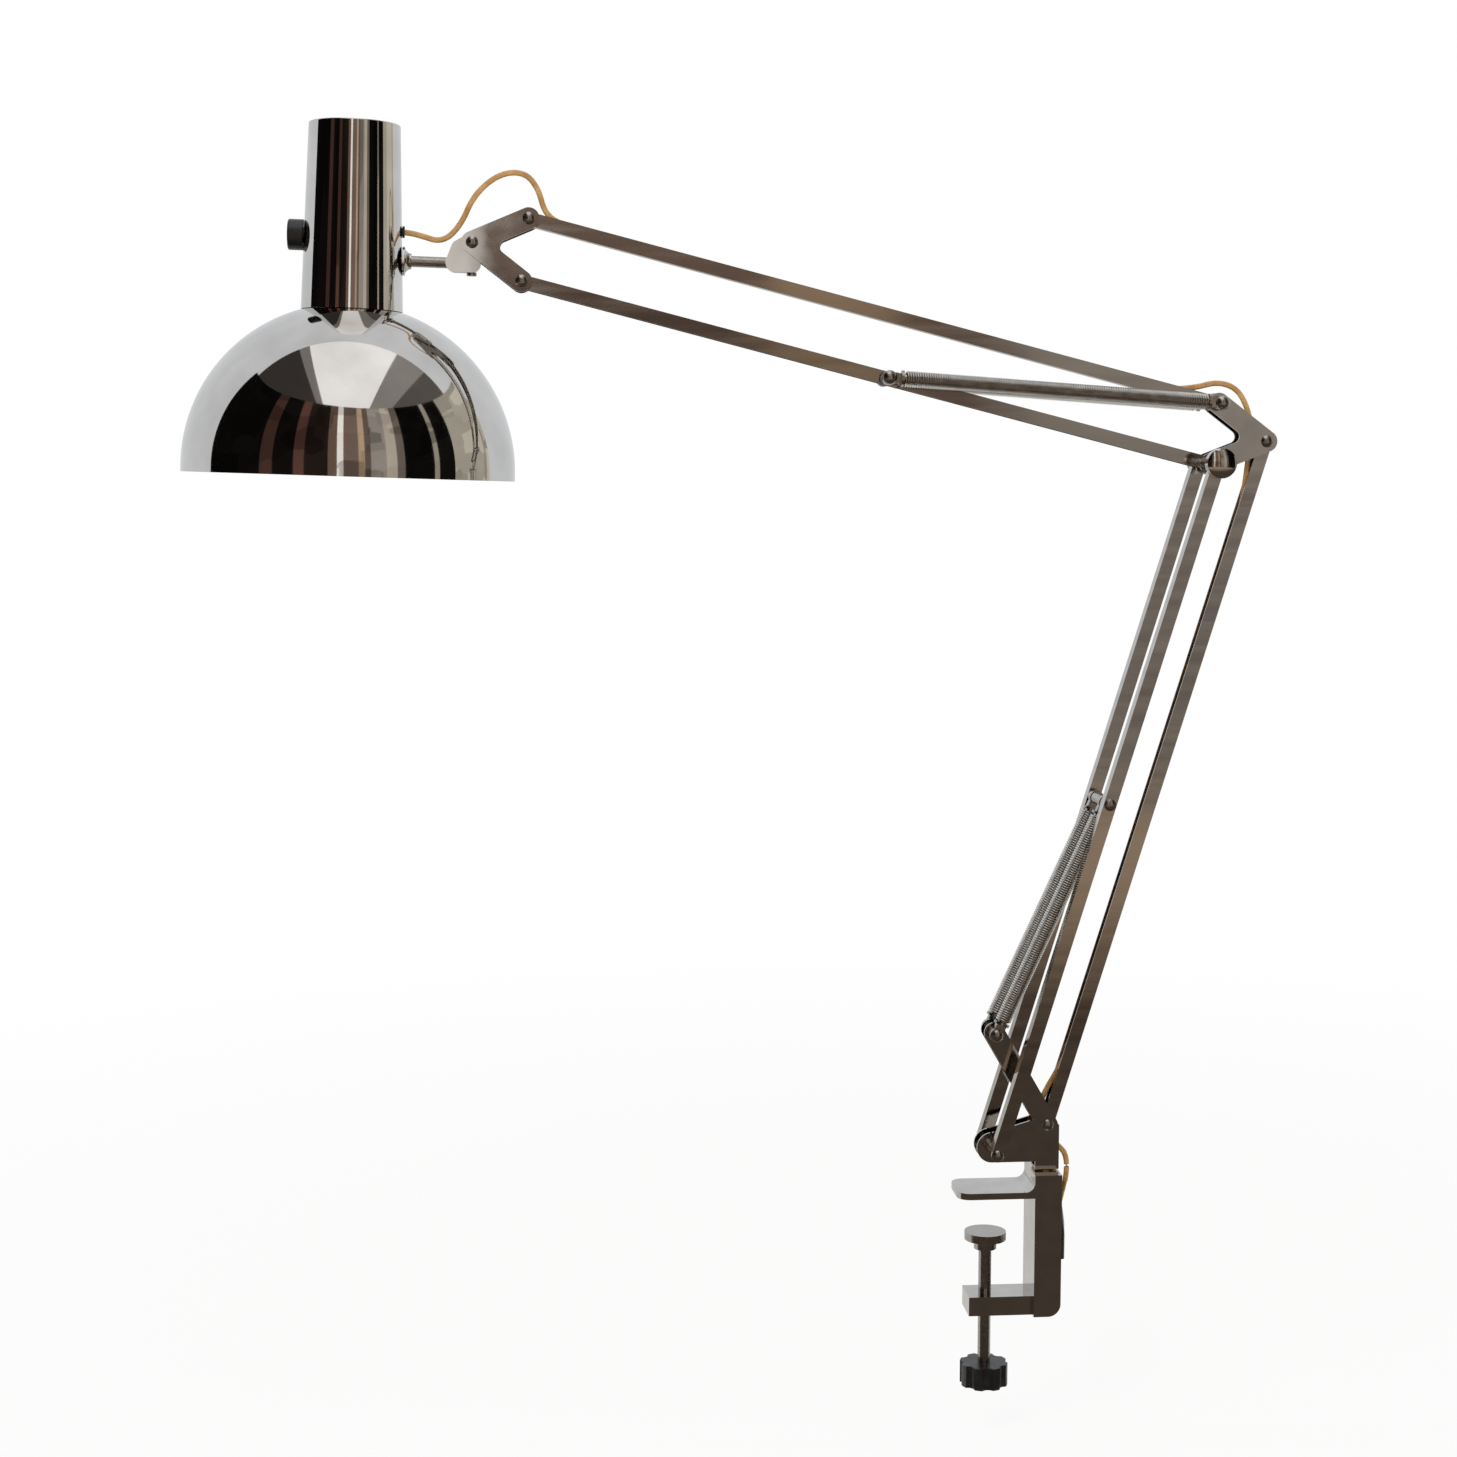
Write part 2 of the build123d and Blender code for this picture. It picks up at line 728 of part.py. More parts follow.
# Upper arm
top_bar = channel_bar(elbow_top_pivot, upper_arm_angle, upper_arm_length, -1, 0.0, None)
save(top_bar, "upper_top_bar")
bottom_bar = channel_bar(elbow_pivot, upper_arm_angle, upper_arm_length, 1, 0.0, upper_spring_reach)
save(bottom_bar, "upper_bottom_bar")
upper_pin = domed_pin(upper_spring_end, eye_outer + end_gap, spring_head_radius, spring_head_height)
save(upper_pin, "upper_spring_pin")
upper_sleeve_places = [
    (upper_spring_end, low, high) for low, high in pair(bar_face + end_gap, eye_inner - end_gap)
]
save(sleeves(upper_sleeve_places), "upper_sleeves")

# Spring end pieces
lower_spring_angle = heading(lower_spring_foot, lower_spring_top)
upper_spring_angle = heading(elbow_top_pivot, upper_spring_end)
save(spring_plugs(lower_spring_foot, lower_spring_angle), "lower_spring_feet")
save(spring_plugs(lower_spring_top, lower_spring_angle + 180), "lower_spring_plugs")
save(spring_plugs(elbow_top_pivot, upper_spring_angle), "upper_spring_feet")
save(spring_plugs(upper_spring_end, upper_spring_angle + 180), "upper_spring_plugs")

# Springs
spring_lines = {
    "lower_spring_near": (lower_spring_foot, lower_spring_top, -spring_offset),
    "lower_spring_far": (lower_spring_foot, lower_spring_top, spring_offset),
    "upper_spring_near": (elbow_top_pivot, upper_spring_end, -spring_offset),
    "upper_spring_far": (elbow_top_pivot, upper_spring_end, spring_offset),
}
for spring_name, (foot, top, middle) in spring_lines.items():
    helix = spring_path(foot, top, middle)
    coil = wound_tube(helix, 0, spring_turns, spring_wire / 2)
    gap = least_gap(helix, 0, spring_turns, spring_wire / 2)
    print(spring_name, "least gap", round(gap, 2))
    save(coil, spring_name)

# Head bracket
head_plates = notched_plates(
    hub_pivot,
    head_top_pivot,
    head_bottom_pivot,
    [hub_pivot, head_top_pivot, head_bottom_pivot],
)
save(head_plates, "head_plates")
with BuildPart() as head_pins:
    add(domed_pin(head_top_pivot, plate_outer + end_gap, rivet_head_radius, rivet_head_height))
    add(domed_pin(head_bottom_pivot, plate_outer + end_gap, rivet_head_radius, rivet_head_height))
save(head_pins.part, "head_pins")
save(domed_pin(hub_pivot, plate_outer + end_gap, rivet_head_radius, rivet_head_height), "hub_pin")

# Knuckle and rod
with BuildPart() as knuckle:
    with BuildSketch(head_plane(bar_face)):
        with Locations((0, 0), knuckle_end, knuckle_shoulder, knuckle_heel):
            Circle(knuckle_radius)
        make_hull()
        Circle(pin_hole, mode=Mode.SUBTRACT)
    extrude(amount=bar_width)
    with BuildSketch(head_cross_plane(knuckle_end[0] - knuckle_radius)):
        with Locations((0, -rod_drop)):
            Circle(rod_radius + fixed_clearance)
    extrude(amount=rod_outer_end + fixed_clearance - knuckle_end[0] + knuckle_radius, mode=Mode.SUBTRACT)
    screw_plane = Plane(
        origin=head_point(knuckle_heel[0], -rod_drop - knuckle_radius), x_dir=head_x, z_dir=head_z
    )
    with BuildSketch(screw_plane):
        Circle(knuckle_screw_radius + fixed_clearance)
    extrude(amount=knuckle_radius - rod_radius, mode=Mode.SUBTRACT)
save(knuckle.part, "knuckle")

with BuildPart() as knuckle_screw:
    with BuildSketch(screw_plane):
        Circle(knuckle_screw_radius)
    extrude(amount=knuckle_radius - rod_radius - fixed_clearance)
    with BuildSketch(screw_plane.offset(-fixed_clearance)):
        Circle(knuckle_screw_head)
    extrude(amount=-knuckle_screw_radius)
    with BuildSketch(screw_plane.offset(-fixed_clearance)):
        Circle(knuckle_screw_radius)
    extrude(amount=fixed_clearance)
save(knuckle_screw.part, "knuckle_screw")

with BuildPart() as head_rod:
    with BuildSketch(head_cross_plane(rod_inner_end)):
        with Locations((0, -rod_drop)):
            Circle(rod_radius)
    extrude(amount=rod_outer_end - rod_inner_end)
save(head_rod.part, "head_rod")

# Neck and shade
rod_bore = rod_radius + running_clearance
with BuildPart() as neck:
    with BuildSketch(head_plane(0)):
        with BuildLine():
            Polyline(
                (-neck_from_hub, neck_top - neck_wall),
                (-neck_from_hub + neck_radius(neck_top) - neck_wall, neck_top - neck_wall),
                (-neck_from_hub + neck_foot_radius - neck_wall, neck_foot),
                (-neck_from_hub + neck_foot_radius, neck_foot),
                (-neck_from_hub + neck_top_radius, neck_top),
                (-neck_from_hub, neck_top),
                close=True,
            )
        make_face()
    revolve(axis=neck_axis)
    rim_edge = neck.edges().filter_by(GeomType.CIRCLE).sort_by(Axis.Z)[-1]
    fillet(rim_edge, neck_top_fillet)
    with BuildSketch(head_cross_plane(-neck_from_hub)):
        with Locations((0, -rod_drop)):
            Circle(rod_bore)
        with Locations((0, grommet_height)):
            Circle(grommet_neck_radius + fixed_clearance)
    extrude(amount=2 * neck_foot_radius, mode=Mode.SUBTRACT)
    with BuildSketch(head_cross_plane(-neck_from_hub)):
        with Locations((0, switch_height)):
            Circle(switch_bush_radius + fixed_clearance)
    extrude(amount=-2 * neck_foot_radius, mode=Mode.SUBTRACT)
save(neck.part, "neck")

dome_outer_x = -neck_from_hub + shade_radius
dome_inner_x = -neck_from_hub + shade_inner_radius
seat_x = -neck_from_hub + neck_seat
with BuildPart() as shade_dome:
    with BuildSketch(head_plane(0)):
        with BuildLine():
            Line((dome_inner_x, shade_rim), (dome_outer_x, shade_rim))
            Line((dome_outer_x, shade_rim), (dome_outer_x, ball_middle))
            TangentArc((dome_outer_x, ball_middle), (seat_x, dome_top), tangent=(0, 1))
            Line((seat_x, dome_top), (seat_x, dome_top_inner))
            TangentArc((dome_inner_x, ball_middle), (seat_x, dome_top_inner), tangent=(0, 1))
            Line((dome_inner_x, ball_middle), (dome_inner_x, shade_rim))
        make_face()
    revolve(axis=neck_axis)
save(shade_dome.part, "shade_dome")

wall_x = -neck_from_hub + neck_radius(-rod_drop)
flange_face = wall_x + side_gap / 2
flange_shoulder = wall_x + flange_rim_length
flange_tip = wall_x + flange_length
flange_bore = rod_bore - rod_drop
with BuildPart() as neck_flange:
    with BuildSketch(head_plane(0)):
        with BuildLine():
            Line((flange_face, flange_bore), (flange_face, flange_radius - rod_drop))
            Line((flange_face, flange_radius - rod_drop), (flange_shoulder, flange_radius - rod_drop))
            TangentArc(
                (flange_tip, flange_tip_radius - rod_drop),
                (flange_shoulder, flange_radius - rod_drop),
                tangent=(-1, 0),
            )
            Line((flange_tip, flange_tip_radius - rod_drop), (flange_tip, flange_bore))
            Line((flange_tip, flange_bore), (flange_face, flange_bore))
        make_face()
    revolve(axis=rod_axis)
save(neck_flange.part, "neck_flange")

# Bracket inside the neck, between the wall and the rod's nut, with the lamp holder below it
inner_wall = neck_radius(holder_top + bracket_thickness) - neck_wall
tab_face = -neck_from_hub + math.sqrt(inner_wall**2 - (bracket_width / 2) ** 2) - end_gap
tab_back = tab_face - bracket_thickness
with BuildPart() as holder_bracket:
    with BuildSketch(head_plane(bracket_width / 2)):
        with BuildLine():
            Polyline(
                (tab_face, -rod_drop - bracket_width / 2),
                (tab_face, holder_top + bracket_thickness),
                (-neck_from_hub - bracket_width / 2, holder_top + bracket_thickness),
                (-neck_from_hub - bracket_width / 2, holder_top),
                (tab_back, holder_top),
                (tab_back, -rod_drop - bracket_width / 2),
                close=True,
            )
        make_face()
    extrude(amount=bracket_width)
    with BuildSketch(head_cross_plane(tab_back)):
        with Locations((0, -rod_drop)):
            Circle(rod_bore)
    extrude(amount=bracket_thickness, mode=Mode.SUBTRACT)
    with BuildSketch(Plane(origin=head_point(-neck_from_hub, holder_top), x_dir=head_x, z_dir=head_z)):
        Circle(nipple_radius + fixed_clearance)
    extrude(amount=bracket_thickness, mode=Mode.SUBTRACT)
save(holder_bracket.part, "holder_bracket")

with BuildPart() as rod_nut:
    with BuildSketch(head_cross_plane(tab_back - end_gap)):
        with Locations((0, -rod_drop)):
            RegularPolygon(rod_nut_radius, 6)
            Circle(rod_radius + fixed_clearance, mode=Mode.SUBTRACT)
    extrude(amount=-rod_nut_length)
save(rod_nut.part, "rod_nut")

holder_bottom = holder_top - holder_length
with BuildPart() as lamp_holder:
    with BuildSketch(head_plane(0)):
        with BuildLine():
            Polyline(
                (-neck_from_hub, holder_top + nipple_length),
                (-neck_from_hub + nipple_radius, holder_top + nipple_length),
                (-neck_from_hub + nipple_radius, holder_top),
                (-neck_from_hub + holder_radius, holder_top),
                (-neck_from_hub + holder_radius, holder_bottom),
                (-neck_from_hub + holder_bore, holder_bottom),
                (-neck_from_hub + holder_bore, bulb_cap_top + end_gap),
                (-neck_from_hub, bulb_cap_top + end_gap),
                close=True,
            )
        make_face()
    revolve(axis=neck_axis)
save(lamp_holder.part, "lamp_holder")

# Bulb: a plain screw cap and a hollow round glass
cap_bottom = bulb_cap_top - bulb_cap_length
ball_height = bulb_bottom + bulb_radius
with BuildPart() as bulb_cap:
    with BuildSketch(Plane(origin=head_point(-neck_from_hub, cap_bottom), x_dir=head_x, z_dir=head_z)):
        Circle(bulb_cap_radius)
    extrude(amount=bulb_cap_length)
save(bulb_cap.part, "bulb_cap")

glass_top = cap_bottom - fixed_clearance
glass_outer = -neck_from_hub + bulb_neck_radius
glass_inner = glass_outer - glass_wall
inner_ball = bulb_radius - glass_wall
waist = ball_height + math.sqrt(bulb_radius**2 - bulb_neck_radius**2)
inner_waist = ball_height + math.sqrt(inner_ball**2 - (bulb_neck_radius - glass_wall) ** 2)
with BuildPart() as bulb_glass:
    with BuildSketch(head_plane(0)):
        with BuildLine():
            Line((-neck_from_hub, bulb_bottom), (-neck_from_hub, bulb_bottom + glass_wall))
            ThreePointArc(
                (-neck_from_hub, bulb_bottom + glass_wall),
                (-neck_from_hub + inner_ball, ball_height),
                (glass_inner, inner_waist),
            )
            Line((glass_inner, inner_waist), (glass_inner, glass_top))
            Line((glass_inner, glass_top), (glass_outer, glass_top))
            Line((glass_outer, glass_top), (glass_outer, waist))
            ThreePointArc(
                (glass_outer, waist),
                (-neck_from_hub + bulb_radius, ball_height),
                (-neck_from_hub, bulb_bottom),
            )
        make_face()
    revolve(axis=neck_axis)
save(bulb_glass.part, "bulb_glass")

# Rotary switch through the left of the neck
switch_wall = -neck_from_hub - neck_radius(switch_height)
switch_inner_wall = neck_radius(switch_height) - neck_wall
switch_face = -neck_from_hub - math.sqrt(switch_inner_wall**2 - switch_body_radius**2) + end_gap
switch_back = -neck_from_hub - holder_radius - end_gap
knob_face = switch_wall - end_gap
bush_end = knob_face - switch_knob_length / 3
with BuildPart() as switch_body:
    with BuildSketch(head_cross_plane(switch_face)):
        with Locations((0, switch_height)):
            Circle(switch_body_radius)
    extrude(amount=switch_back - switch_face)
    with BuildSketch(head_cross_plane(switch_face)):
        with Locations((0, switch_height)):
            Circle(switch_bush_radius)
    extrude(amount=bush_end - switch_face)
    with BuildSketch(head_cross_plane(bush_end)):
        with Locations((0, switch_height)):
            Circle(switch_spindle_radius + running_clearance)
    extrude(amount=(switch_face + switch_back) / 2 - bush_end, mode=Mode.SUBTRACT)
save(switch_body.part, "switch_body")

with BuildPart() as switch_knob:
    with BuildSketch(head_cross_plane(knob_face)):
        with Locations((0, switch_height)):
            Circle(switch_knob_radius)
    extrude(amount=-switch_knob_length)
    outer_rim = switch_knob.edges().filter_by(GeomType.CIRCLE).sort_by(Axis.X)[0]
    fillet(outer_rim, switch_knob_length / 8)
    with BuildSketch(head_cross_plane(knob_face)):
        with Locations((0, switch_height)):
            Circle(switch_bush_radius + end_gap)
    extrude(amount=bush_end - end_gap - knob_face, mode=Mode.SUBTRACT)
    with BuildSketch(head_cross_plane(bush_end - end_gap)):
        with Locations((0, switch_height)):
            Circle(switch_spindle_radius)
    extrude(amount=(switch_face + switch_back) / 2 - end_gap - bush_end)
save(switch_knob.part, "switch_knob")

# Grommet for the cord, through the right of the neck
grommet_wall = -neck_from_hub + neck_radius(grommet_height)
with BuildPart() as cord_grommet:
    with BuildSketch(head_cross_plane(grommet_wall + end_gap)):
        with Locations((0, grommet_height)):
            Circle(grommet_radius)
    extrude(amount=grommet_flange - end_gap)
    with BuildSketch(head_cross_plane(grommet_wall + end_gap)):
        with Locations((0, grommet_height)):
            Circle(grommet_neck_radius)
    extrude(amount=-2 * neck_wall)
    with BuildSketch(head_cross_plane(grommet_wall + grommet_flange)):
        with Locations((0, grommet_height)):
            Circle(cord_radius + fixed_clearance)
    extrude(amount=-(2 * neck_wall + grommet_flange), mode=Mode.SUBTRACT)
save(cord_grommet.part, "cord_grommet")

# Cord, from the neck along the arms to the clamp
upper_cord_near = along(elbow_top_pivot, upper_arm_angle, upper_cord_start, cord_in_bar)
upper_cord_far = along(elbow_top_pivot, upper_arm_angle, upper_cord_end, cord_in_bar)
cord_inlet = head_point(grommet_wall + grommet_flange - cord_into_neck, grommet_height)
cord_inlet_start = head_point(grommet_wall + grommet_flange + cord_out_of_neck, grommet_height)


def in_plane(pivot, offset):
    # A point of the lamp's middle plane, as a step from a pivot
    return (pivot[0] + offset[0], 0, pivot[1] + offset[1])


# Each loop hangs on the pivot that it passes, so it follows when an arm is made longer
head_cord_points = [
    (upper_cord_far[0], 0, upper_cord_far[1]),
    in_plane(head_top_pivot, (20.8, -4.0)),
    in_plane(head_top_pivot, (4.8, 8.5)),
    in_plane(head_top_pivot, (-2.2, 22.0)),
    in_plane(head_top_pivot, (-17.2, 24.5)),
    in_plane(head_top_pivot, (-32.2, 13.0)),
    in_plane(head_top_pivot, (-40.7, -3.5)),
    in_plane(head_top_pivot, (-52.2, -12.7)),
    tuple(cord_inlet_start),
    tuple(cord_inlet),
]
elbow_cord_points = [
    (upper_cord_near[0], 0, upper_cord_near[1]),
    in_plane(elbow_top_pivot, (-29.6, 8.7)),
    in_plane(elbow_top_pivot, (-13.6, 9.6)),
    in_plane(elbow_top_pivot, (0.4, 13.3)),
    in_plane(elbow_top_pivot, (12.4, 9.4)),
    in_plane(elbow_top_pivot, (18.9, -1.1)),
    in_plane(elbow_top_pivot, (21.9, -13.1)),
    in_plane(elbow_top_pivot, (21.4, -25.1)),
]
rear_cord_points = [
    in_plane(elbow_top_pivot, (21.35, -25.5)),
    in_plane(elbow_top_pivot, (20.0, -39.1)),
    in_plane(elbow_top_pivot, (17.6, -58.1)),
    in_plane(elbow_top_pivot, (12.7, -84.1)),
    in_plane(rear_pivot, (18.75, 57.5)),
]
base_cord_points = [
    in_plane(rear_pivot, (18.6, 57.1)),
    in_plane(rear_pivot, (9.2, 37.4)),
    in_plane(rear_pivot, (-3.8, 15.4)),
    in_plane(rear_pivot, (-7.8, -4.1)),
    in_plane(rear_pivot, (5.7, -12.1)),
    in_plane(rear_pivot, (15.2, -22.6)),
    in_plane(rear_pivot, (12.7, -37.6)),
]
lead_cord_points = [
    (clamp_body_right + 5.45, 0.1, clamp_body_top - 8.9),
    (clamp_body_right + 3.6, 3.5, clamp_body_top - 22.5),
    (clamp_body_right + 2.9, 13.5, clamp_body_top - 34.5),
    (clamp_body_right + 1.7, 23.0, clamp_body_top - 47.5),
    (coil_front[0], coil_front[1], coil_front[2] + 2 * cord_radius + cord_break),
]
cord_tube("head_cord", head_cord_points)
cord_tube("elbow_cord", elbow_cord_points)
cord_tube("cord_in_rear_bar", rear_cord_points)
cord_tube("base_cord", base_cord_points)
cord_tube("lead_cord", lead_cord_points)
with BuildPart() as cord_in_upper_bar:
    upper_cord_way = Vector(
        upper_cord_far[0] - upper_cord_near[0], 0, upper_cord_far[1] - upper_cord_near[1]
    )
    upper_cord_plane = Plane(origin=(upper_cord_near[0], 0, upper_cord_near[1]), z_dir=upper_cord_way)
    with BuildSketch(upper_cord_plane.offset(cord_break)):
        Circle(cord_radius)
    extrude(amount=upper_cord_way.length - 2 * cord_break)
save(cord_in_upper_bar.part, "cord_in_upper_bar")

# Put-away lead: a flat coil in two layers behind the clamp, and the plug
coil_along = Vector(math.sin(math.radians(coil_heading)), math.cos(math.radians(coil_heading)), 0)
coil_across = Vector(math.cos(math.radians(coil_heading)), -math.sin(math.radians(coil_heading)), 0)
coil_up = Vector(0, 0, 1)
coil_middle = Vector(*coil_front) + coil_along * coil_outer_radius
coil_turns = 2 * coil_layer_turns + coil_climb_turns
coil_depth_turns = coil_turns / 2


def coil_path(turn):
    # Inwards on the first layer, up to the second in half a turn, and outwards again
    climb = min(max((turn - coil_layer_turns) / coil_climb_turns, 0.0), 1.0)
    lift = coil_step * climb * climb * (3 - 2 * climb)
    inward = coil_depth_turns - abs(turn - coil_depth_turns)
    radius = coil_outer_radius - coil_step * inward
    angle = math.pi * (1 + 2 * turn)
    return (
        coil_middle
        + coil_along * (radius * math.cos(angle))
        + coil_up * (radius * math.sin(angle))
        + coil_across * lift
    )


lead_coil = wound_tube(coil_path, 0, coil_turns, cord_radius)
print("lead_coil least gap", round(least_gap(coil_path, 0, coil_turns, cord_radius), 2))
save(lead_coil, "lead_coil")

# Cord from the coil's end, up and over to the plug
coil_end = coil_path(coil_turns) + coil_up * (2 * cord_radius + cord_break)
plug_entry = coil_end + coil_along * plug_reach
plug_cord_points = [
    tuple(coil_end),
    tuple(coil_end + coil_up * plug_drop),
    tuple(plug_entry + coil_up * plug_drop),
    tuple(plug_entry),
]
cord_tube("plug_cord", plug_cord_points)

with BuildPart() as coil_tie:
    tie_height = coil_step * coil_depth_turns + 2 * cord_radius + 4 * side_gap
    tie_depth = coil_step + 2 * cord_radius + 2 * side_gap
    tie_middle = (
        coil_middle
        - coil_up * (coil_outer_radius - coil_step * coil_depth_turns / 2)
        + coil_across * (coil_step / 2)
    )
    with BuildSketch(
        Plane(origin=tie_middle - coil_along * (tie_width / 2), x_dir=coil_across, z_dir=coil_along)
    ):
        Rectangle(tie_depth + 2 * tie_wall, tie_height + 2 * tie_wall)
        Rectangle(tie_depth, tie_height, mode=Mode.SUBTRACT)
    extrude(amount=tie_width)
save(coil_tie.part, "coil_tie")

# Flat two-pin plug, hanging pins down
plug_plane = Plane(origin=plug_entry, x_dir=coil_along, z_dir=(0, 0, -1))
with BuildPart() as plug_body:
    with BuildSketch(plug_plane):
        RectangleRounded(plug_neck_width, plug_neck_thickness, plug_corner)
    with BuildSketch(plug_plane.offset(plug_body_length / 2)):
        RectangleRounded(plug_body_width, plug_body_thickness, plug_corner)
    loft()
    with BuildSketch(plug_plane.offset(plug_body_length / 2)):
        RectangleRounded(plug_body_width, plug_body_thickness, plug_corner)
    extrude(amount=plug_body_length / 2)
save(plug_body.part, "plug_body")

with BuildPart() as plug_pins:
    with BuildSketch(plug_plane.offset(plug_body_length)):
        with GridLocations(plug_pin_spacing, 0, 2, 1):
            Circle(plug_pin_radius)
    extrude(amount=plug_pin_length)
save(plug_pins.part, "plug_pins")
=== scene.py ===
import math

import bmesh
import bpy
from mathutils import Matrix, Vector


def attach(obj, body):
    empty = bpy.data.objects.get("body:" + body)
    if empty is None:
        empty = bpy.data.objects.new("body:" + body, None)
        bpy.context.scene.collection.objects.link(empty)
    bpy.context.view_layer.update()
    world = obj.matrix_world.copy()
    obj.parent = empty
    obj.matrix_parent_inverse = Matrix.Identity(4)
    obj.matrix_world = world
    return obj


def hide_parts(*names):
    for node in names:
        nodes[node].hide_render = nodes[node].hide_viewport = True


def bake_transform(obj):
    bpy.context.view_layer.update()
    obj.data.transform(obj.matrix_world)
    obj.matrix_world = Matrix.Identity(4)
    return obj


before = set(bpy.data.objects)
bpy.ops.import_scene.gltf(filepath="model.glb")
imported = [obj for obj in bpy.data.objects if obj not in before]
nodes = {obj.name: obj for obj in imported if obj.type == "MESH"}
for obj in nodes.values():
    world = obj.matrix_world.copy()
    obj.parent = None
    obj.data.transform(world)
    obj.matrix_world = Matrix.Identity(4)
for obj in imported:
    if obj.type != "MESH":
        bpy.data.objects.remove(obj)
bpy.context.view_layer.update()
scene = bpy.context.scene
scene.view_settings.view_transform = "Standard"
print("frame loaded,", len(nodes), "nodes")

# camera, solved from the lamp's bars, rim and neck in the picture
cameraSpec = {
    "place": (-0.28337, -1.469, 0.4446),
    "yaw": 4.649,
    "pitch": 5.843,
    "lens": 60.0,
    "sensor": 36.0,
}
cameraData = bpy.data.cameras.new("pictureCamera")
cameraData.lens = cameraSpec["lens"]
cameraData.sensor_width = cameraSpec["sensor"]
camera = bpy.data.objects.new("pictureCamera", cameraData)
scene.collection.objects.link(camera)
camera.location = cameraSpec["place"]
camera.rotation_euler = (math.radians(90 - cameraSpec["pitch"]), 0, -math.radians(cameraSpec["yaw"]))
scene.camera = camera
print("camera set")


def linearColour(hexCode):
    channels = [int(hexCode[i : i + 2], 16) / 255 for i in (1, 3, 5)]
    return [c / 12.92 if c <= 0.04045 else ((c + 0.055) / 1.055) ** 2.4 for c in channels] + [1.0]


def addNode(tree, kind, settings=None, inputs=None):
    # settings are the node's own properties, inputs are values or the sockets to link from
    node = tree.nodes.new(kind)
    for key, value in (settings or {}).items():
        setattr(node, key, value)
    for key, value in (inputs or {}).items():
        if isinstance(value, bpy.types.NodeSocket):
            tree.links.new(value, node.inputs[key])
        else:
            node.inputs[key].default_value = value
    return node


def startMaterial(name):
    material = bpy.data.materials.new(name)
    material.use_nodes = True
    tree = material.node_tree
    shader = tree.nodes["Principled BSDF"]
    place = addNode(tree, "ShaderNodeTexCoord").outputs["Object"]
    return material, tree, shader, place


def perMetre(millimetres):
    # texture scale for a pattern whose features are that far apart
    return 1000.0 / millimetres


def rampBetween(tree, source, low, high, lowColour, highColour):
    ramp = addNode(tree, "ShaderNodeValToRGB", inputs={"Fac": source})
    ramp.color_ramp.elements[0].position = low
    ramp.color_ramp.elements[1].position = high
    ramp.color_ramp.elements[0].color = linearColour(lowColour)
    ramp.color_ramp.elements[1].color = linearColour(highColour)
    return ramp.outputs["Color"]


# directions of the two arms' bars as posed, in degrees up from the right
armAngles = {"lower": 72.95, "upper": 165.6}
# the part of a noise's range that counts, and the depth of bumps in metres
noiseSpec = {"low": 0.3, "high": 0.7, "shadeLow": 0.25, "shadeHigh": 0.75, "rippleDepth": 0.001, "grainDepth": 0.0004}


def metalFinish(name, spec):
    # metal with uneven polish: one noise gives colour and roughness, another a faint ripple
    material, tree, shader, place = startMaterial(name)
    turned = addNode(
        tree,
        "ShaderNodeMapping",
        inputs={"Vector": place, "Rotation": (0, math.radians(spec["grainTurn"]), 0), "Scale": spec["stretch"]},
    ).outputs["Vector"]
    haze = addNode(
        tree, "ShaderNodeTexNoise", inputs={"Vector": turned, "Scale": perMetre(spec["hazeMm"]), "Detail": 4.0}
    ).outputs["Fac"]
    rough = addNode(
        tree,
        "ShaderNodeMapRange",
        inputs={"Value": haze, "From Min": noiseSpec["low"], "From Max": noiseSpec["high"],
                "To Min": spec["smooth"], "To Max": spec["dull"]},
    ).outputs["Result"]
    shade = rampBetween(
        tree, haze, noiseSpec["shadeLow"], noiseSpec["shadeHigh"], spec["dark"], spec["light"]
    )
    ripple = addNode(
        tree, "ShaderNodeTexNoise", inputs={"Vector": place, "Scale": perMetre(spec["rippleMm"]), "Detail": 1.0}
    ).outputs["Fac"]
    bump = addNode(
        tree,
        "ShaderNodeBump",
        inputs={"Height": ripple, "Strength": spec["ripple"], "Distance": noiseSpec["rippleDepth"]},
    ).outputs["Normal"]
    tree.links.new(shade, shader.inputs["Base Color"])
    tree.links.new(rough, shader.inputs["Roughness"])
    tree.links.new(bump, shader.inputs["Normal"])
    shader.inputs["Metallic"].default_value = 1.0
    return material


# chrome plate over spun steel: a clean mirror with a slight wobble and faint haze
spunChromePlate = metalFinish(
    "spunChromePlate",
    {"grainTurn": 0, "stretch": (1, 1, 1), "hazeMm": 28, "smooth": 0.025, "dull": 0.06, "dark": "#c9c6c2",
     "light": "#dedbd7", "rippleMm": 60, "ripple": 0.05},
)
# chrome plate over folded strip: a little duller, with drawing streaks along the bar
lowerArmChrome = metalFinish(
    "lowerArmChrome",
    {"grainTurn": armAngles["lower"], "stretch": (0.08, 1, 1), "hazeMm": 6, "smooth": 0.06, "dull": 0.14,
     "dark": "#b3aca5", "light": "#cfcac4", "rippleMm": 45, "ripple": 0.12},
)
upperArmChrome = metalFinish(
    "upperArmChrome",
    {"grainTurn": armAngles["upper"], "stretch": (0.08, 1, 1), "hazeMm": 6, "smooth": 0.06, "dull": 0.14,
     "dark": "#b3aca5", "light": "#cfcac4", "rippleMm": 45, "ripple": 0.12},
)
# chrome plate over pressed and cast pieces: some wear and small dull patches
pressedChromePlate = metalFinish(
    "pressedChromePlate",
    {"grainTurn": 0, "stretch": (1, 1, 1), "hazeMm": 14, "smooth": 0.05, "dull": 0.1, "dark": "#bab6b1",
     "light": "#cdc9c4", "rippleMm": 30, "ripple": 0.08},
)
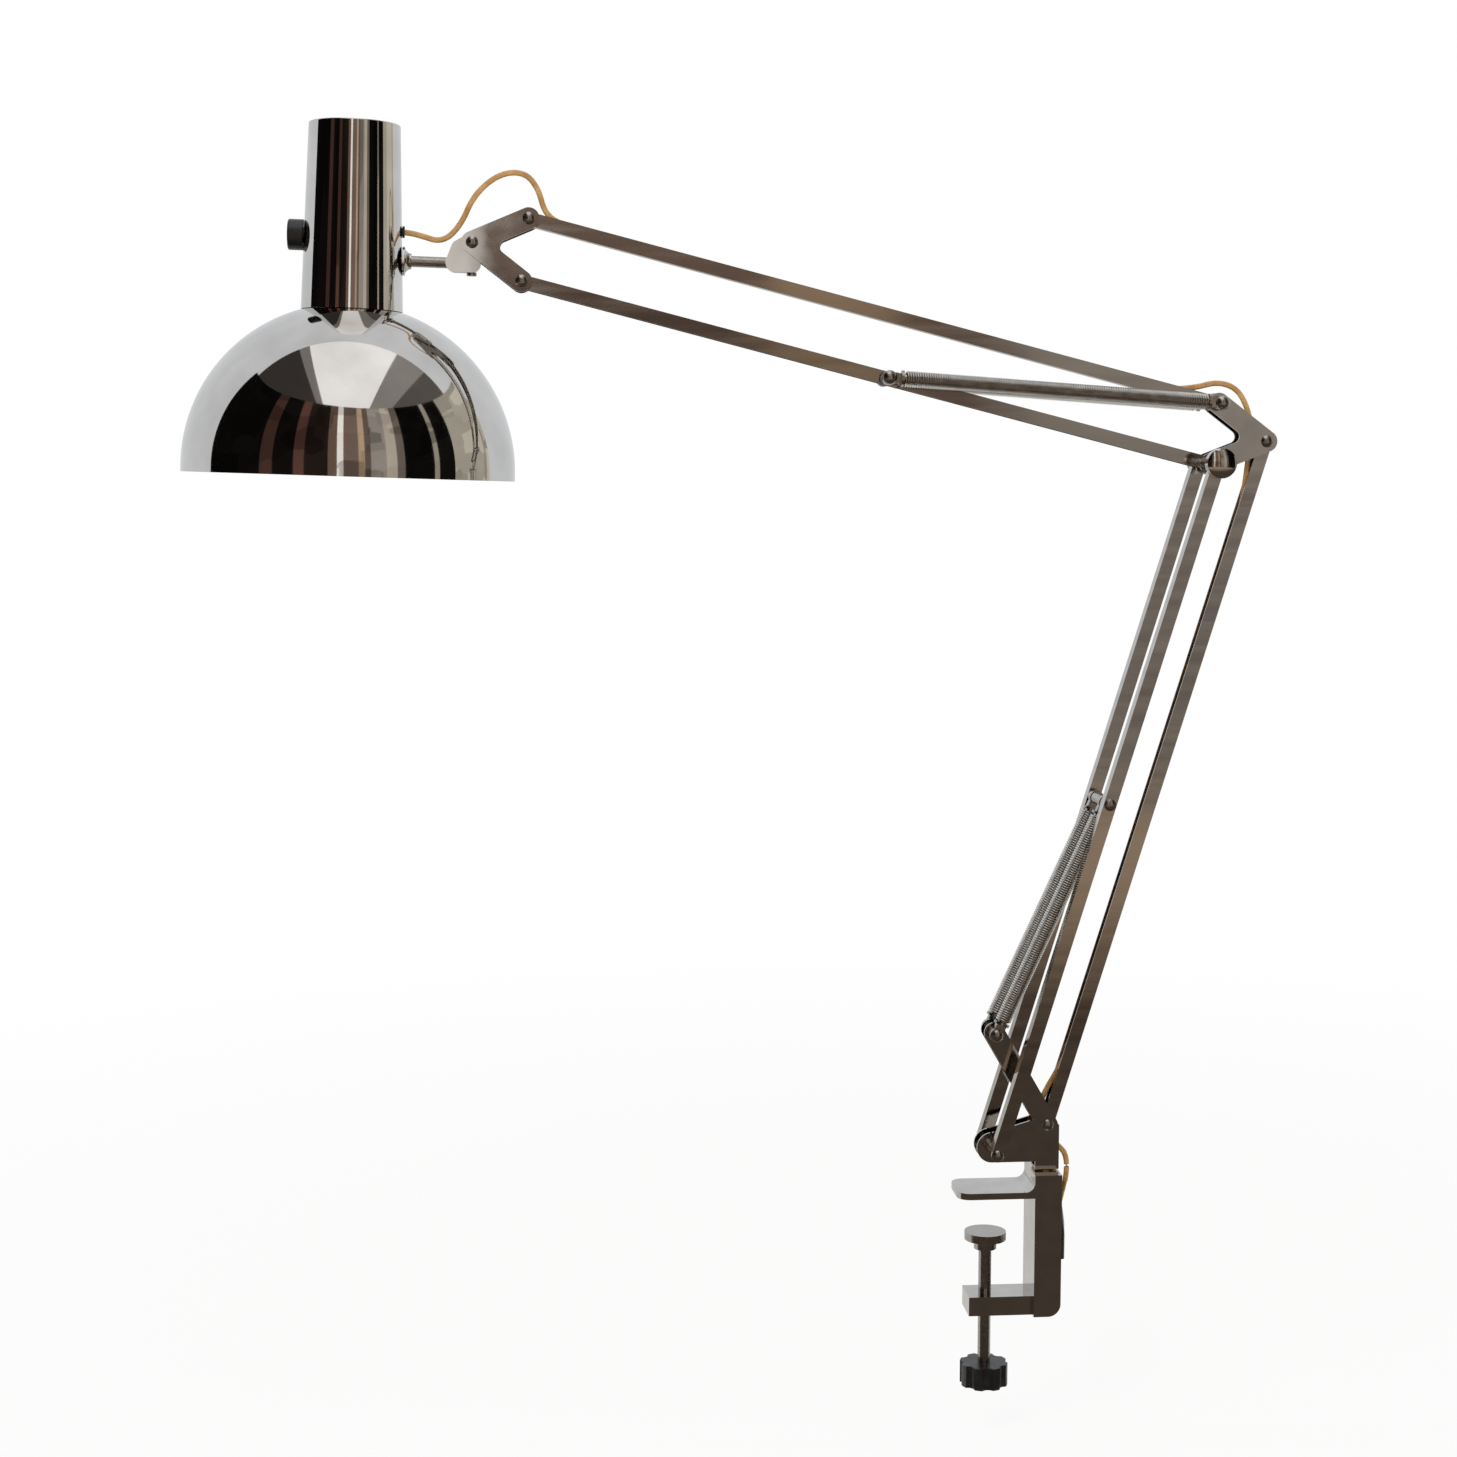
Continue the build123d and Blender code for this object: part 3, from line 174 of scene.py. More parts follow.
# turned steel pins, plain and bright, with fine lathe unevenness
turnedSteel = metalFinish(
    "turnedSteel",
    {"grainTurn": 0, "stretch": (1, 6, 1), "hazeMm": 3, "smooth": 0.16, "dull": 0.3, "dark": "#9d9892",
     "light": "#c2beb8", "rippleMm": 4, "ripple": 0.08},
)
# nickel-plated spring wire, satin along its drawn length
nickelSpringWire = metalFinish(
    "nickelSpringWire",
    {"grainTurn": 0, "stretch": (1, 1, 1), "hazeMm": 5, "smooth": 0.14, "dull": 0.26, "dark": "#cbc8c3",
     "light": "#e6e3de", "rippleMm": 2, "ripple": 0.05},
)
# turned brass bush, yellow and slightly tarnished
turnedBrass = metalFinish(
    "turnedBrass",
    {"grainTurn": 0, "stretch": (1, 1, 6), "hazeMm": 4, "smooth": 0.2, "dull": 0.35, "dark": "#8f6f35",
     "light": "#c9a55c", "rippleMm": 4, "ripple": 0.08},
)
# rolled aluminium screw cap of the bulb, soft grey
rolledAluminium = metalFinish(
    "rolledAluminium",
    {"grainTurn": 0, "stretch": (1, 1, 1), "hazeMm": 3, "smooth": 0.25, "dull": 0.4, "dark": "#b4b4b2",
     "light": "#d2d2cf", "rippleMm": 3, "ripple": 0.2},
)


def mouldedFinish(name, spec):
    # plastic, rubber or enamel: colour drift, grain and roughness from noise
    material, tree, shader, place = startMaterial(name)
    drift = addNode(
        tree, "ShaderNodeTexNoise", inputs={"Vector": place, "Scale": perMetre(spec["driftMm"]), "Detail": 3.0}
    ).outputs["Fac"]
    grain = addNode(
        tree, "ShaderNodeTexNoise", inputs={"Vector": place, "Scale": perMetre(spec["grainMm"]), "Detail": 2.0}
    ).outputs["Fac"]
    rough = addNode(
        tree,
        "ShaderNodeMapRange",
        inputs={"Value": drift, "From Min": noiseSpec["low"], "From Max": noiseSpec["high"],
                "To Min": spec["smooth"], "To Max": spec["dull"]},
    ).outputs["Result"]
    bump = addNode(
        tree,
        "ShaderNodeBump",
        inputs={"Height": grain, "Strength": spec["grain"], "Distance": noiseSpec["grainDepth"]},
    ).outputs["Normal"]
    shade = rampBetween(tree, drift, noiseSpec["low"], noiseSpec["high"], spec["dark"], spec["light"])
    tree.links.new(shade, shader.inputs["Base Color"])
    tree.links.new(rough, shader.inputs["Roughness"])
    tree.links.new(bump, shader.inputs["Normal"])
    shader.inputs["IOR"].default_value = spec["ior"]
    shader.inputs["Coat Weight"].default_value = spec["coat"]
    shader.inputs["Transmission Weight"].default_value = spec["through"]
    return material


# moulded phenolic: nearly black, semi-gloss with worn dull patches
mouldedPhenolic = mouldedFinish(
    "mouldedPhenolic",
    {"driftMm": 7, "grainMm": 0.8, "grain": 0.12, "smooth": 0.28, "dull": 0.42, "dark": "#131313",
     "light": "#222221", "ior": 1.55, "coat": 0.0, "through": 0.0},
)
# extruded PVC flex, gold-brown and a little see-through, so it looks lit from inside
extrudedGoldFlex = mouldedFinish(
    "extrudedGoldFlex",
    {"driftMm": 9, "grainMm": 1.2, "grain": 0.06, "smooth": 0.22, "dull": 0.34, "dark": "#b08048",
     "light": "#d2a76a", "ior": 1.53, "coat": 0.25, "through": 0.12},
)
# moulded rubber: matt black
mouldedRubber = mouldedFinish(
    "mouldedRubber",
    {"driftMm": 5, "grainMm": 0.6, "grain": 0.15, "smooth": 0.55, "dull": 0.7, "dark": "#17171a",
     "light": "#26262a", "ior": 1.5, "coat": 0.0, "through": 0.0},
)
# sprayed white enamel inside the dome, with faint orange peel
sprayedWhiteEnamel = mouldedFinish(
    "sprayedWhiteEnamel",
    {"driftMm": 30, "grainMm": 1.5, "grain": 0.05, "smooth": 0.3, "dull": 0.4, "dark": "#e2ded6",
     "light": "#efece5", "ior": 1.5, "coat": 0.1, "through": 0.0},
)
# blown glass with an opal inside coat: milky, smooth outside
opalGlass = mouldedFinish(
    "opalGlass",
    {"driftMm": 25, "grainMm": 4, "grain": 0.01, "smooth": 0.08, "dull": 0.14, "dark": "#ece9e2",
     "light": "#f6f4ee", "ior": 1.5, "coat": 0.0, "through": 0.25},
)
print("materials made")


def showAs(mesh, name, material, smoothAngle=40):
    piece = bpy.data.objects.new(name, mesh)
    scene.collection.objects.link(piece)
    mesh.materials.append(material)
    for polygon in mesh.polygons:
        polygon.use_smooth = True
    mesh.set_sharp_from_angle(angle=math.radians(smoothAngle))
    return piece


def meshFrom(bm, name):
    mesh = bpy.data.meshes.new(name)
    bm.to_mesh(mesh)
    bm.free()
    return mesh


# flat twin flex: two cores side by side, its wide way across the lamp
flexSpec = {"width": 0.0034, "thick": 0.0022, "waist": 0.00045, "dent": 0.00022, "corners": 24}
profileCurve = bpy.data.curves.new("flexProfile", "CURVE")
profileCurve.dimensions = "2D"
profileSpline = profileCurve.splines.new("POLY")
profileSpline.points.add(flexSpec["corners"] - 1)
for i, point in enumerate(profileSpline.points):
    angle = 2 * math.pi * i / flexSpec["corners"]
    across = flexSpec["width"] / 2 * math.cos(angle)
    dent = flexSpec["dent"] * math.exp(-((across / flexSpec["waist"]) ** 2))
    point.co = (math.sin(angle) * (flexSpec["thick"] / 2 - dent), across, 0, 1)
profileSpline.use_cyclic_u = True
flexProfile = bpy.data.objects.new("flexProfile", profileCurve)


def flexRoute(name, points):
    # the cord's line and its tube, both from one smooth spline through the route's control points
    curve = bpy.data.curves.new(name, "CURVE")
    curve.dimensions = "3D"
    curve.resolution_u = 10
    curve.twist_mode = "Z_UP"
    spline = curve.splines.new("NURBS")
    spline.points.add(len(points) - 1)
    for spot, place in zip(spline.points, points):
        spot.co = (*place, 1)
    spline.order_u = 3
    spline.use_endpoint_u = True
    holder = bpy.data.objects.new(name + "Route", curve)
    line = bpy.data.meshes.new_from_object(holder)
    path = [vertex.co.copy() for vertex in line.vertices]
    curve.bevel_mode = "OBJECT"
    curve.bevel_object = flexProfile
    curve.use_fill_caps = True
    scene.collection.objects.link(flexProfile)
    scene.collection.objects.link(holder)
    tube = bpy.data.meshes.new_from_object(holder.evaluated_get(bpy.context.evaluated_depsgraph_get()))
    bpy.data.objects.remove(holder)
    scene.collection.objects.unlink(flexProfile)
    return path, tube


def cutBetween(tube, path, normal, low, high):
    # the stretch of a tube whose height along normal is between low and high
    bm = bmesh.new()
    bm.from_mesh(tube)
    for limit, sign in ((low, -1), (high, 1)):
        if limit is not None:
            bmesh.ops.bisect_plane(
                bm,
                geom=bm.verts[:] + bm.edges[:] + bm.faces[:],
                plane_co=Vector(normal) * limit,
                plane_no=Vector(normal) * sign,
                clear_outer=True,
            )
    kept = [
        p for p in path
        if (low is None or p.dot(Vector(normal)) >= low) and (high is None or p.dot(Vector(normal)) <= high)
    ]
    return kept, meshFrom(bm, "cutFlex")


def flexPiece(name, tube):
    piece = showAs(tube, name, extrudedGoldFlex, 60)
    return piece


def metres(points):
    return [tuple(value / 1000 for value in point) for point in points]


# the flex is laid out from the elbow's top pivot, along and above the top bar
elbowTop = Vector((0.135585, 0, 0.491086))
topBarAngle = math.radians(armAngles["upper"])
topBarWay = Vector((math.cos(topBarAngle), 0, math.sin(topBarAngle)))
topBarUp = Vector((-topBarWay.z, 0, topBarWay.x))


def inTopBar(along, lift):
    return tuple(elbowTop + topBarWay * along + topBarUp * lift)


def fromElbow(places):
    # places are millimetres to the right of and above the pivot
    return [(elbowTop.x + x / 1000, 0, elbowTop.z + z / 1000) for x, z in places]


# head loop, from the top bar over the bracket into the neck
headLoop = {
    "points": [inTopBar(0.385, 0.0011)] + metres([
        (-264.5, 0, 595.6), (-273.5, 0, 602.5), (-277.0, 0, 616.5), (-285.0, 0, 626.0),
        (-300.04, 0, 625.0), (-315.04, 0, 612.5), (-323.0, 0, 594.5), (-334.0, 0, 584.4),
        (-347.92, 0, 588.9), (-356.0, 0, 590.4), (-369.9, 0, 590.8),
    ]),
    "cuts": (-0.290, -0.336),
    "blends": (
        ((-0.270, 0, 0.600), (-0.290, 0, 0.624)),
        ((-0.304, 0, 0.6225), (-0.335, 0, 0.5845)),
        ((-0.337, 0, 0.585), (-0.354, 0, 0.590)),
    ),
    "bodies": ("upper_top_bar", "head_bracket", "head_knuckle", "shade"),
}
headPath, headTube = flexRoute("headFlex", headLoop["points"])
edges = (None, *headLoop["cuts"], None)
for i, name in enumerate(("headFlexAtBar", "headFlexLoop", "headFlexAtNeck")):
    path, tube = cutBetween(headTube, headPath, (1, 0, 0), edges[i + 1], edges[i])
    piece = flexPiece(name, tube)
    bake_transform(piece)
    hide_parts("head_cord")

# flex lying in the top bar's channel
barFlex = {"points": [inTopBar(0.0474, 0.0011), inTopBar(0.200, 0.0013), inTopBar(0.3846, 0.0011)]}
path, tube = flexRoute("topBarFlex", barFlex["points"])
piece = flexPiece("topBarFlex", tube)
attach(piece, "upper_top_bar")
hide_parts("cord_in_upper_bar")

# elbow loop, out of the top bar and down between the plates
elbowLoop = {
    "points": [inTopBar(0.047, 0.0011)] + fromElbow((
        (-29.6, 8.7), (-13.6, 9.6), (0.4, 13.3), (12.4, 9.4), (18.9, -1.1), (21.9, -13.1), (21.4, -25.1),
    )),
    "blend": ((0.106, 0, 0.4998), (0.150, 0, 0.498)),
}
path, tube = flexRoute("elbowFlex", elbowLoop["points"])
piece = flexPiece("elbowFlex", tube)
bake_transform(piece)
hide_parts("elbow_cord")

# flex down the rear bar's channel
rearFlex = {
    "points": fromElbow(((21.35, -25.5), (20.0, -39.1), (17.6, -58.1), (12.7, -84.1))) + [(0.05455, 0, 0.1011)],
}
path, tube = flexRoute("rearBarFlex", rearFlex["points"])
piece = flexPiece("rearBarFlex", tube)
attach(piece, "rear_bar")
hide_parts("cord_in_rear_bar")

# base loop, out of the rear bar and behind the clamp body
baseLoop = {
    "points": metres([
        (54.4, 0, 100.7), (45.0, 0, 81.0), (32.0, 0, 59.0), (28.0, 0, 39.5), (41.5, 0, 31.5),
        (51.0, 0, 21.0), (48.5, 0, 6.0),
    ]),
    "cut": 0.037,
    "blends": (((0.045, 0, 0.081), (0.031, 0, 0.050)), ((0.040, 0, 0.032), (0.049, 0, 0.010))),
}
basePath, baseTube = flexRoute("baseFlex", baseLoop["points"])
path, tube = cutBetween(baseTube, basePath, (0, 0, 1), baseLoop["cut"], None)
piece = flexPiece("baseFlexAtBar", tube)
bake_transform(piece)
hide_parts("base_cord")
path, tube = cutBetween(baseTube, basePath, (0, 0, 1), None, baseLoop["cut"])
piece = flexPiece("baseFlexAtClamp", tube)
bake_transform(piece)
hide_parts("base_cord")

# put-away lead: down the clamp's back, a neat coil in two layers, and over to the plug
leadSpec = {
    "start": metres([(48.92, 0, 8.5), (46.6, 3.5, -8.0), (45.9, 13.5, -20.0), (44.7, 23.0, -33.0)]),
    "front": Vector((0.0445, 0.024, -0.048)),
    "heading": math.radians(12),
    "outer": 0.033,
    "step": 0.0039,
    "layerTurns": 5,
    "climbTurns": 0.5,
    "perTurn": 16,
    "plugReach": 0.025,
    "plugDrop": 0.024,
    "bendFrom": 0.7,
    "bendWidth": 0.006,
    "stub": 0.0038,
}
coilAlong = Vector((math.sin(leadSpec["heading"]), math.cos(leadSpec["heading"]), 0))
coilAcross = Vector((math.cos(leadSpec["heading"]), -math.sin(leadSpec["heading"]), 0))
coilUp = Vector((0, 0, 1))
coilMiddle = leadSpec["front"] + coilAlong * leadSpec["outer"]
allTurns = 2 * leadSpec["layerTurns"] + leadSpec["climbTurns"]


def coilPlace(turn):
    climb = min(max((turn - leadSpec["layerTurns"]) / leadSpec["climbTurns"], 0.0), 1.0)
    inward = allTurns / 2 - abs(turn - allTurns / 2)
    reach = leadSpec["outer"] - leadSpec["step"] * inward
    angle = math.pi * (1 + 2 * turn)
    lift = leadSpec["step"] * climb * climb * (3 - 2 * climb)
    return (
        coilMiddle + coilAlong * (reach * math.cos(angle)) + coilUp * (reach * math.sin(angle)) + coilAcross * lift
    )


coilCount = round(allTurns * leadSpec["perTurn"])
coilEnd = coilPlace(allTurns) + coilUp * leadSpec["stub"]
plugEntry = coilEnd + coilAlong * leadSpec["plugReach"]
leadPoints = leadSpec["start"] + [
    tuple(coilPlace(allTurns * i / coilCount)) for i in range(coilCount + 1)
] + [
    tuple(coilEnd + coilUp * (leadSpec["plugDrop"] * leadSpec["bendFrom"])),
    tuple(coilEnd + coilUp * leadSpec["plugDrop"] + coilAlong * leadSpec["bendWidth"]),
    tuple(plugEntry + coilUp * leadSpec["plugDrop"] - coilAlong * leadSpec["bendWidth"]),
    tuple(plugEntry + coilUp * (leadSpec["plugDrop"] * leadSpec["bendFrom"])),
    tuple(plugEntry),
]
path, tube = flexRoute("leadFlex", leadPoints)
leadFlex = flexPiece(
    "leadFlex", tube
)
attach(leadFlex, "clamp")
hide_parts("lead_cord", "lead_coil", "plug_cord")
print("cords laid")

# springs, close-wound, stretched between their end pieces as the arm is posed
springSpec = {
    "radius": 0.005, "wire": 0.0014, "eye": 0.009, "offset": 0.012, "stepsPerTurn": 20, "sides": 8, "spread": 1.04,
}
springLines = {
    "lower": ((0.0014, 0.103), (0.0674086, 0.247504), "lower_springs", "lower_spring_ends"),
    "upper": ((0.135585, 0.491086), (-0.068163, 0.505592), "upper_springs", "upper_spring_ends"),
}
for arm, (foot, top, footBody, topBody) in springLines.items():
    for side, depth in (("near", -springSpec["offset"]), ("far", springSpec["offset"])):
        start = Vector((foot[0], depth, foot[1]))
        way = (Vector((top[0], depth, top[1])) - start).normalized()
        coilStart = start + way * springSpec["eye"]
        coilLength = (Vector((top[0], depth, top[1])) - start).length - 2 * springSpec["eye"]
        turns = math.floor((coilLength - springSpec["wire"]) / (springSpec["wire"] * springSpec["spread"]))
        bm = bmesh.new()
        bmesh.ops.create_circle(bm, segments=springSpec["sides"], radius=springSpec["wire"] / 2)
        bmesh.ops.rotate(bm, verts=bm.verts[:], cent=(0, 0, 0), matrix=Matrix.Rotation(math.pi / 2, 3, "X"))
        coilRadius = springSpec["radius"] - springSpec["wire"] / 2
        bmesh.ops.translate(bm, verts=bm.verts[:], vec=(coilRadius, 0, springSpec["wire"] / 2))
        winder = bpy.data.objects.new("winder", meshFrom(bm, "wireEnd"))
        scene.collection.objects.link(winder)
        screw = winder.modifiers.new("wind", "SCREW")
        screw.axis = "Z"
        screw.angle = 2 * math.pi
        screw.iterations = turns
        screw.screw_offset = (coilLength - springSpec["wire"]) / turns
        screw.steps = springSpec["stepsPerTurn"]
        screw.render_steps = springSpec["stepsPerTurn"]
        wound = bpy.data.meshes.new_from_object(winder.evaluated_get(bpy.context.evaluated_depsgraph_get()))
        bpy.data.objects.remove(winder)
        bm = bmesh.new()
        bm.from_mesh(wound)
        bmesh.ops.holes_fill(bm, edges=[e for e in bm.edges if e.is_boundary], sides=0)
        bmesh.ops.recalc_face_normals(bm, faces=bm.faces[:])
        bm.transform(Matrix.Translation(coilStart) @ way.to_track_quat("Z", "Y").to_matrix().to_4x4())
        spring = showAs(meshFrom(bm, arm + "Spring"), arm + "Spring" + side.capitalize(), nickelSpringWire, 80)
        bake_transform(spring)
        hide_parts(arm + "_spring_" + side)
print("springs wound")

# head frame: leans a little, with the neck's axis as its own Z
headSpec = {"hub": (-0.316342, 0, 0.584418), "lean": math.radians(1.8), "neckFromHub": 0.070}
headX = Vector((math.cos(headSpec["lean"]), 0, -math.sin(headSpec["lean"])))
headZ = Vector((math.sin(headSpec["lean"]), 0, math.cos(headSpec["lean"])))
neckBase = Vector(headSpec["hub"]) - headX * headSpec["neckFromHub"]
headFrame = Matrix((
    (headX.x, 0, headZ.x, neckBase.x),
    (0, 1, 0, neckBase.y),
    (headX.z, 0, headZ.z, neckBase.z),
    (0, 0, 0, 1),
))

# dome, spun from one arc and a short skirt
domeSpec = {
    "radius": 0.0984, "rim": -0.140, "skirt": 0.0035, "wall": 0.001, "seat": 0.0291, "steps": 160, "arcSteps": 48,
    "weld": 1e-6,
}
ballHeight = domeSpec["rim"] + domeSpec["skirt"]
bm = bmesh.new()
first = bm.verts.new((domeSpec["radius"], 0, ballHeight))
topAngle = math.acos(domeSpec["seat"] / domeSpec["radius"])
bmesh.ops.spin(
    bm, geom=[first], cent=(0, 0, ballHeight), axis=(0, -1, 0), angle=topAngle, steps=domeSpec["arcSteps"],
    use_duplicate=False,
)
low = bmesh.ops.extrude_vert_indiv(bm, verts=[first])["verts"]
bmesh.ops.translate(bm, verts=low, vec=(0, 0, -domeSpec["skirt"]))
bmesh.ops.spin(
    bm, geom=bm.verts[:] + bm.edges[:], cent=(0, 0, 0), axis=(0, 0, 1), angle=2 * math.pi,
    steps=domeSpec["steps"], use_merge=True, use_duplicate=False,
)
bmesh.ops.remove_doubles(bm, verts=bm.verts[:], dist=domeSpec["weld"])
bmesh.ops.recalc_face_normals(bm, faces=bm.faces[:])
if bm.faces[0].normal.dot(bm.faces[0].calc_center_median() - Vector((0, 0, ballHeight))) < 0:
    bmesh.ops.reverse_faces(bm, faces=bm.faces[:])
bmesh.ops.solidify(bm, geom=bm.faces[:], thickness=domeSpec["wall"])
middleRadius = domeSpec["radius"] - domeSpec["wall"] / 2
for face in bm.faces:
    spot = face.calc_center_median()
    reach = math.hypot(spot.x, spot.y) if spot.z < ballHeight else (spot - Vector((0, 0, ballHeight))).length
    face.material_index = 1 if reach < middleRadius else 0
bm.transform(headFrame)
dome = showAs(meshFrom(bm, "domeShell"), "domeShell", spunChromePlate)
dome.data.materials.append(sprayedWhiteEnamel)
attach(dome, "shade")
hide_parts("shade_dome")

# neck, a slightly tapered tube closed at the top with a soft edge
neckSpec = {
    "foot": -0.04247, "top": 0.066, "footRadius": 0.0299, "topRadius": 0.0268, "wall": 0.0008, "edge": 0.0007,
    "sides": 160, "edgeSteps": 5, "slack": 1e-5,
}
bm = bmesh.new()
depth = neckSpec["top"] - neckSpec["foot"]
bmesh.ops.create_cone(
    bm, cap_ends=True, segments=neckSpec["sides"], radius1=neckSpec["footRadius"], radius2=neckSpec["topRadius"],
    depth=depth,
)
bmesh.ops.translate(bm, verts=bm.verts[:], vec=(0, 0, neckSpec["foot"] + depth / 2))
bottom = [f for f in bm.faces if f.normal.z < -0.9]
bmesh.ops.delete(bm, geom=bottom, context="FACES_ONLY")
topRim = [e for e in bm.edges if all(v.co.z > neckSpec["top"] - neckSpec["slack"] for v in e.verts)]
bmesh.ops.bevel(
    bm, geom=topRim, offset=neckSpec["edge"], segments=neckSpec["edgeSteps"], profile=0.5, affect="EDGES", material=-1
)
bmesh.ops.recalc_face_normals(bm, faces=bm.faces[:])
if sum(f.normal.z for f in bm.faces if len(f.verts) > 8) < 0:
    bmesh.ops.reverse_faces(bm, faces=bm.faces[:])
bmesh.ops.solidify(bm, geom=bm.faces[:], thickness=neckSpec["wall"])
bm.transform(headFrame)
neckTube = showAs(meshFrom(bm, "neckTube"), "neckTube", spunChromePlate)
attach(neckTube, "shade")
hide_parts("neck")
print("shade spun")

# CAD nodes keep their shape and take the finishes
nodeFinishes = (
    (lowerArmChrome, ("lower_front_bar_near", "lower_front_bar_far", "lower_rear_bar")),
    (upperArmChrome, ("upper_top_bar", "upper_bottom_bar")),
    (pressedChromePlate, ("clamp_frame", "base_bracket", "elbow_plates", "head_plates", "knuckle", "neck_flange",
                          "elbow_knob")),
    (turnedSteel, ("clamp_foot", "clamp_screw", "swivel_pin", "base_pins", "base_sleeves", "lower_spring_pin",
                   "lower_sleeves", "elbow_pins", "elbow_sleeves", "elbow_bolt", "elbow_nut", "upper_spring_pin",
                   "upper_sleeves", "head_pins", "hub_pin", "knuckle_screw", "head_rod", "rod_nut",
                   "holder_bracket", "lower_spring_feet", "lower_spring_plugs", "upper_spring_feet",
                   "upper_spring_plugs", "plug_pins")),
    (turnedBrass, ("swivel_bush",)),
    (mouldedPhenolic, ("clamp_handle", "lamp_holder", "switch_body", "switch_knob", "plug_body")),
    (mouldedRubber, ("cord_grommet", "coil_tie")),
    (opalGlass, ("bulb_glass",)),
    (rolledAluminium, ("bulb_cap",)),
)
for finish, names in nodeFinishes:
    for name in names:
        nodes[name].data.materials.clear()
        nodes[name].data.materials.append(finish)
print("finishes given")

# floor: white to the camera, with a faint shadow near the lamp
stageSpec = {
    "floorHeight": -0.156,
    "floorSize": 12.0,
    "floorRough": 0.8,
    "fadeNear": 0.5,
    "fadeFar": 1.6,
    "fadeLow": 0.88,
    "aim": (-0.15, 0, 0.35),
}


def seenStraight(tree, light):
    # 1 for what the camera sees straight or through glass
    return addNode(
        tree, "ShaderNodeMath", {"operation": "MAXIMUM"},
        {0: light.outputs["Is Camera Ray"], 1: light.outputs["Is Transmission Ray"]},
    ).outputs[0]


def surfaceFrom(tree, shading):
    tree.links.new(shading.outputs[0], tree.nodes["Material Output"].inputs["Surface"])


bm = bmesh.new()
bmesh.ops.create_grid(bm, x_segments=1, y_segments=1, size=stageSpec["floorSize"])
bmesh.ops.translate(bm, verts=bm.verts[:], vec=(0, 0, stageSpec["floorHeight"]))
floorPaint, tree, shader, place = startMaterial("floorPaint")
shader.inputs["Base Color"].default_value = linearColour("#f2f1ef")
shader.inputs["Roughness"].default_value = stageSpec["floorRough"]
seen = seenStraight(tree, addNode(tree, "ShaderNodeLightPath"))
glow = addNode(tree, "ShaderNodeEmission", inputs={"Color": linearColour("#ffffff"), "Strength": 1.0})
away = addNode(tree, "ShaderNodeVectorMath", {"operation": "LENGTH"}, {0: place})
fade = addNode(
    tree, "ShaderNodeMapRange",
    inputs={"Value": away.outputs["Value"], "From Min": stageSpec["fadeNear"], "From Max": stageSpec["fadeFar"],
            "To Min": stageSpec["fadeLow"], "To Max": 1.0},
)
share = addNode(tree, "ShaderNodeMath", {"operation": "MULTIPLY"}, {0: seen, 1: fade.outputs["Result"]})
surfaceFrom(tree, addNode(
    tree, "ShaderNodeMixShader", inputs={0: share.outputs[0], 1: shader.outputs[0], 2: glow.outputs[0]}
))
floor = showAs(meshFrom(bm, "floor"), "floor", floorPaint)

# cards behind the camera and above, seen only in the chrome
cardSpec = {
    "radius": 3.0,
    "top": 3.2,
    "left": -100,
    "right": 118,
    "blockMm": 1000,
    "highDepth": 3.3,
    "lowDepth": 3.0,
    "lowHeight": -0.154,
    "lowFar": -2.1,
    "lowNear": -1.2,
    "steps": 64,
    "blockSquash": 1.6,
    "blockDim": 0.6,
    "blockBright": 1.3,
    "panelGlow": 1.1,
    "stripes": (
        (-100, "#0f0d0c"), (-62, "#45302b"), (-54, "#120f0e"), (-40, "#573d36"), (-33, "#241c19"), (-18, "#6a574c"),
        (-12, "#f6f3ee"), (-8, "#75645a"), (3, "#b39b82"), (7, "#63554d"), (11, "#979089"), (22, "#b7ada0"),
        (30, "#6e645d"), (36, "#0e0c0b"), (60, "#958d84"), (64, "#13110f"), (78, "#bdb7aa"),
    ),
    "panels": ((-3.0, "#3a3634"), (-1.5, "#7f7b78"), (-1.25, "#ffffff"), (0.75, "#8d8985"), (1.7, "#5a5552")),
}


def bandsOf(tree, source, low, high, bands):
    # hard-edged colours along a value, each from its own start onwards
    share = addNode(tree, "ShaderNodeMapRange", inputs={"Value": source, "From Min": low, "From Max": high})
    ramp = addNode(tree, "ShaderNodeValToRGB", inputs={"Fac": share.outputs["Result"]})
    ramp.color_ramp.interpolation = "CONSTANT"
    for i, (start, colour) in enumerate(bands):
        spot = (start - low) / (high - low)
        stop = ramp.color_ramp.elements[i] if i < 2 else ramp.color_ramp.elements.new(spot)
        stop.position = spot
        stop.color = linearColour(colour)
    return ramp.outputs["Color"]


def mirrorCard(mesh, name, material):
    # a card that only reflections see
    card = showAs(mesh, name, material)
    card.visible_camera = False
    card.visible_diffuse = False
    card.visible_shadow = False
    card.visible_transmission = False


# upright stripes, by degrees to the right of straight ahead
bm = bmesh.new()
spread = math.radians(cardSpec["right"] - cardSpec["left"])
begin = math.radians(cardSpec["left"] - 90)
radius = cardSpec["radius"]
low = bm.verts.new((radius * math.cos(begin), radius * math.sin(begin), stageSpec["floorHeight"]))
high = bm.verts.new((radius * math.cos(begin), radius * math.sin(begin), cardSpec["top"]))
line = bm.edges.new((low, high))
bmesh.ops.spin(
    bm, geom=[low, high, line], cent=(0, 0, 0), axis=(0, 0, 1), angle=spread, steps=cardSpec["steps"],
    use_duplicate=False,
)
stripeCard, tree, _, place = startMaterial("stripeCard")
parts = addNode(tree, "ShaderNodeSeparateXYZ", inputs={"Vector": place})
ahead = addNode(tree, "ShaderNodeMath", {"operation": "MULTIPLY"}, {0: parts.outputs["Y"], 1: -1.0})
turn = addNode(tree, "ShaderNodeMath", {"operation": "ARCTAN2"}, {0: parts.outputs["X"], 1: ahead.outputs[0]})
degrees = addNode(tree, "ShaderNodeMath", {"operation": "DEGREES"}, {0: turn.outputs[0]})
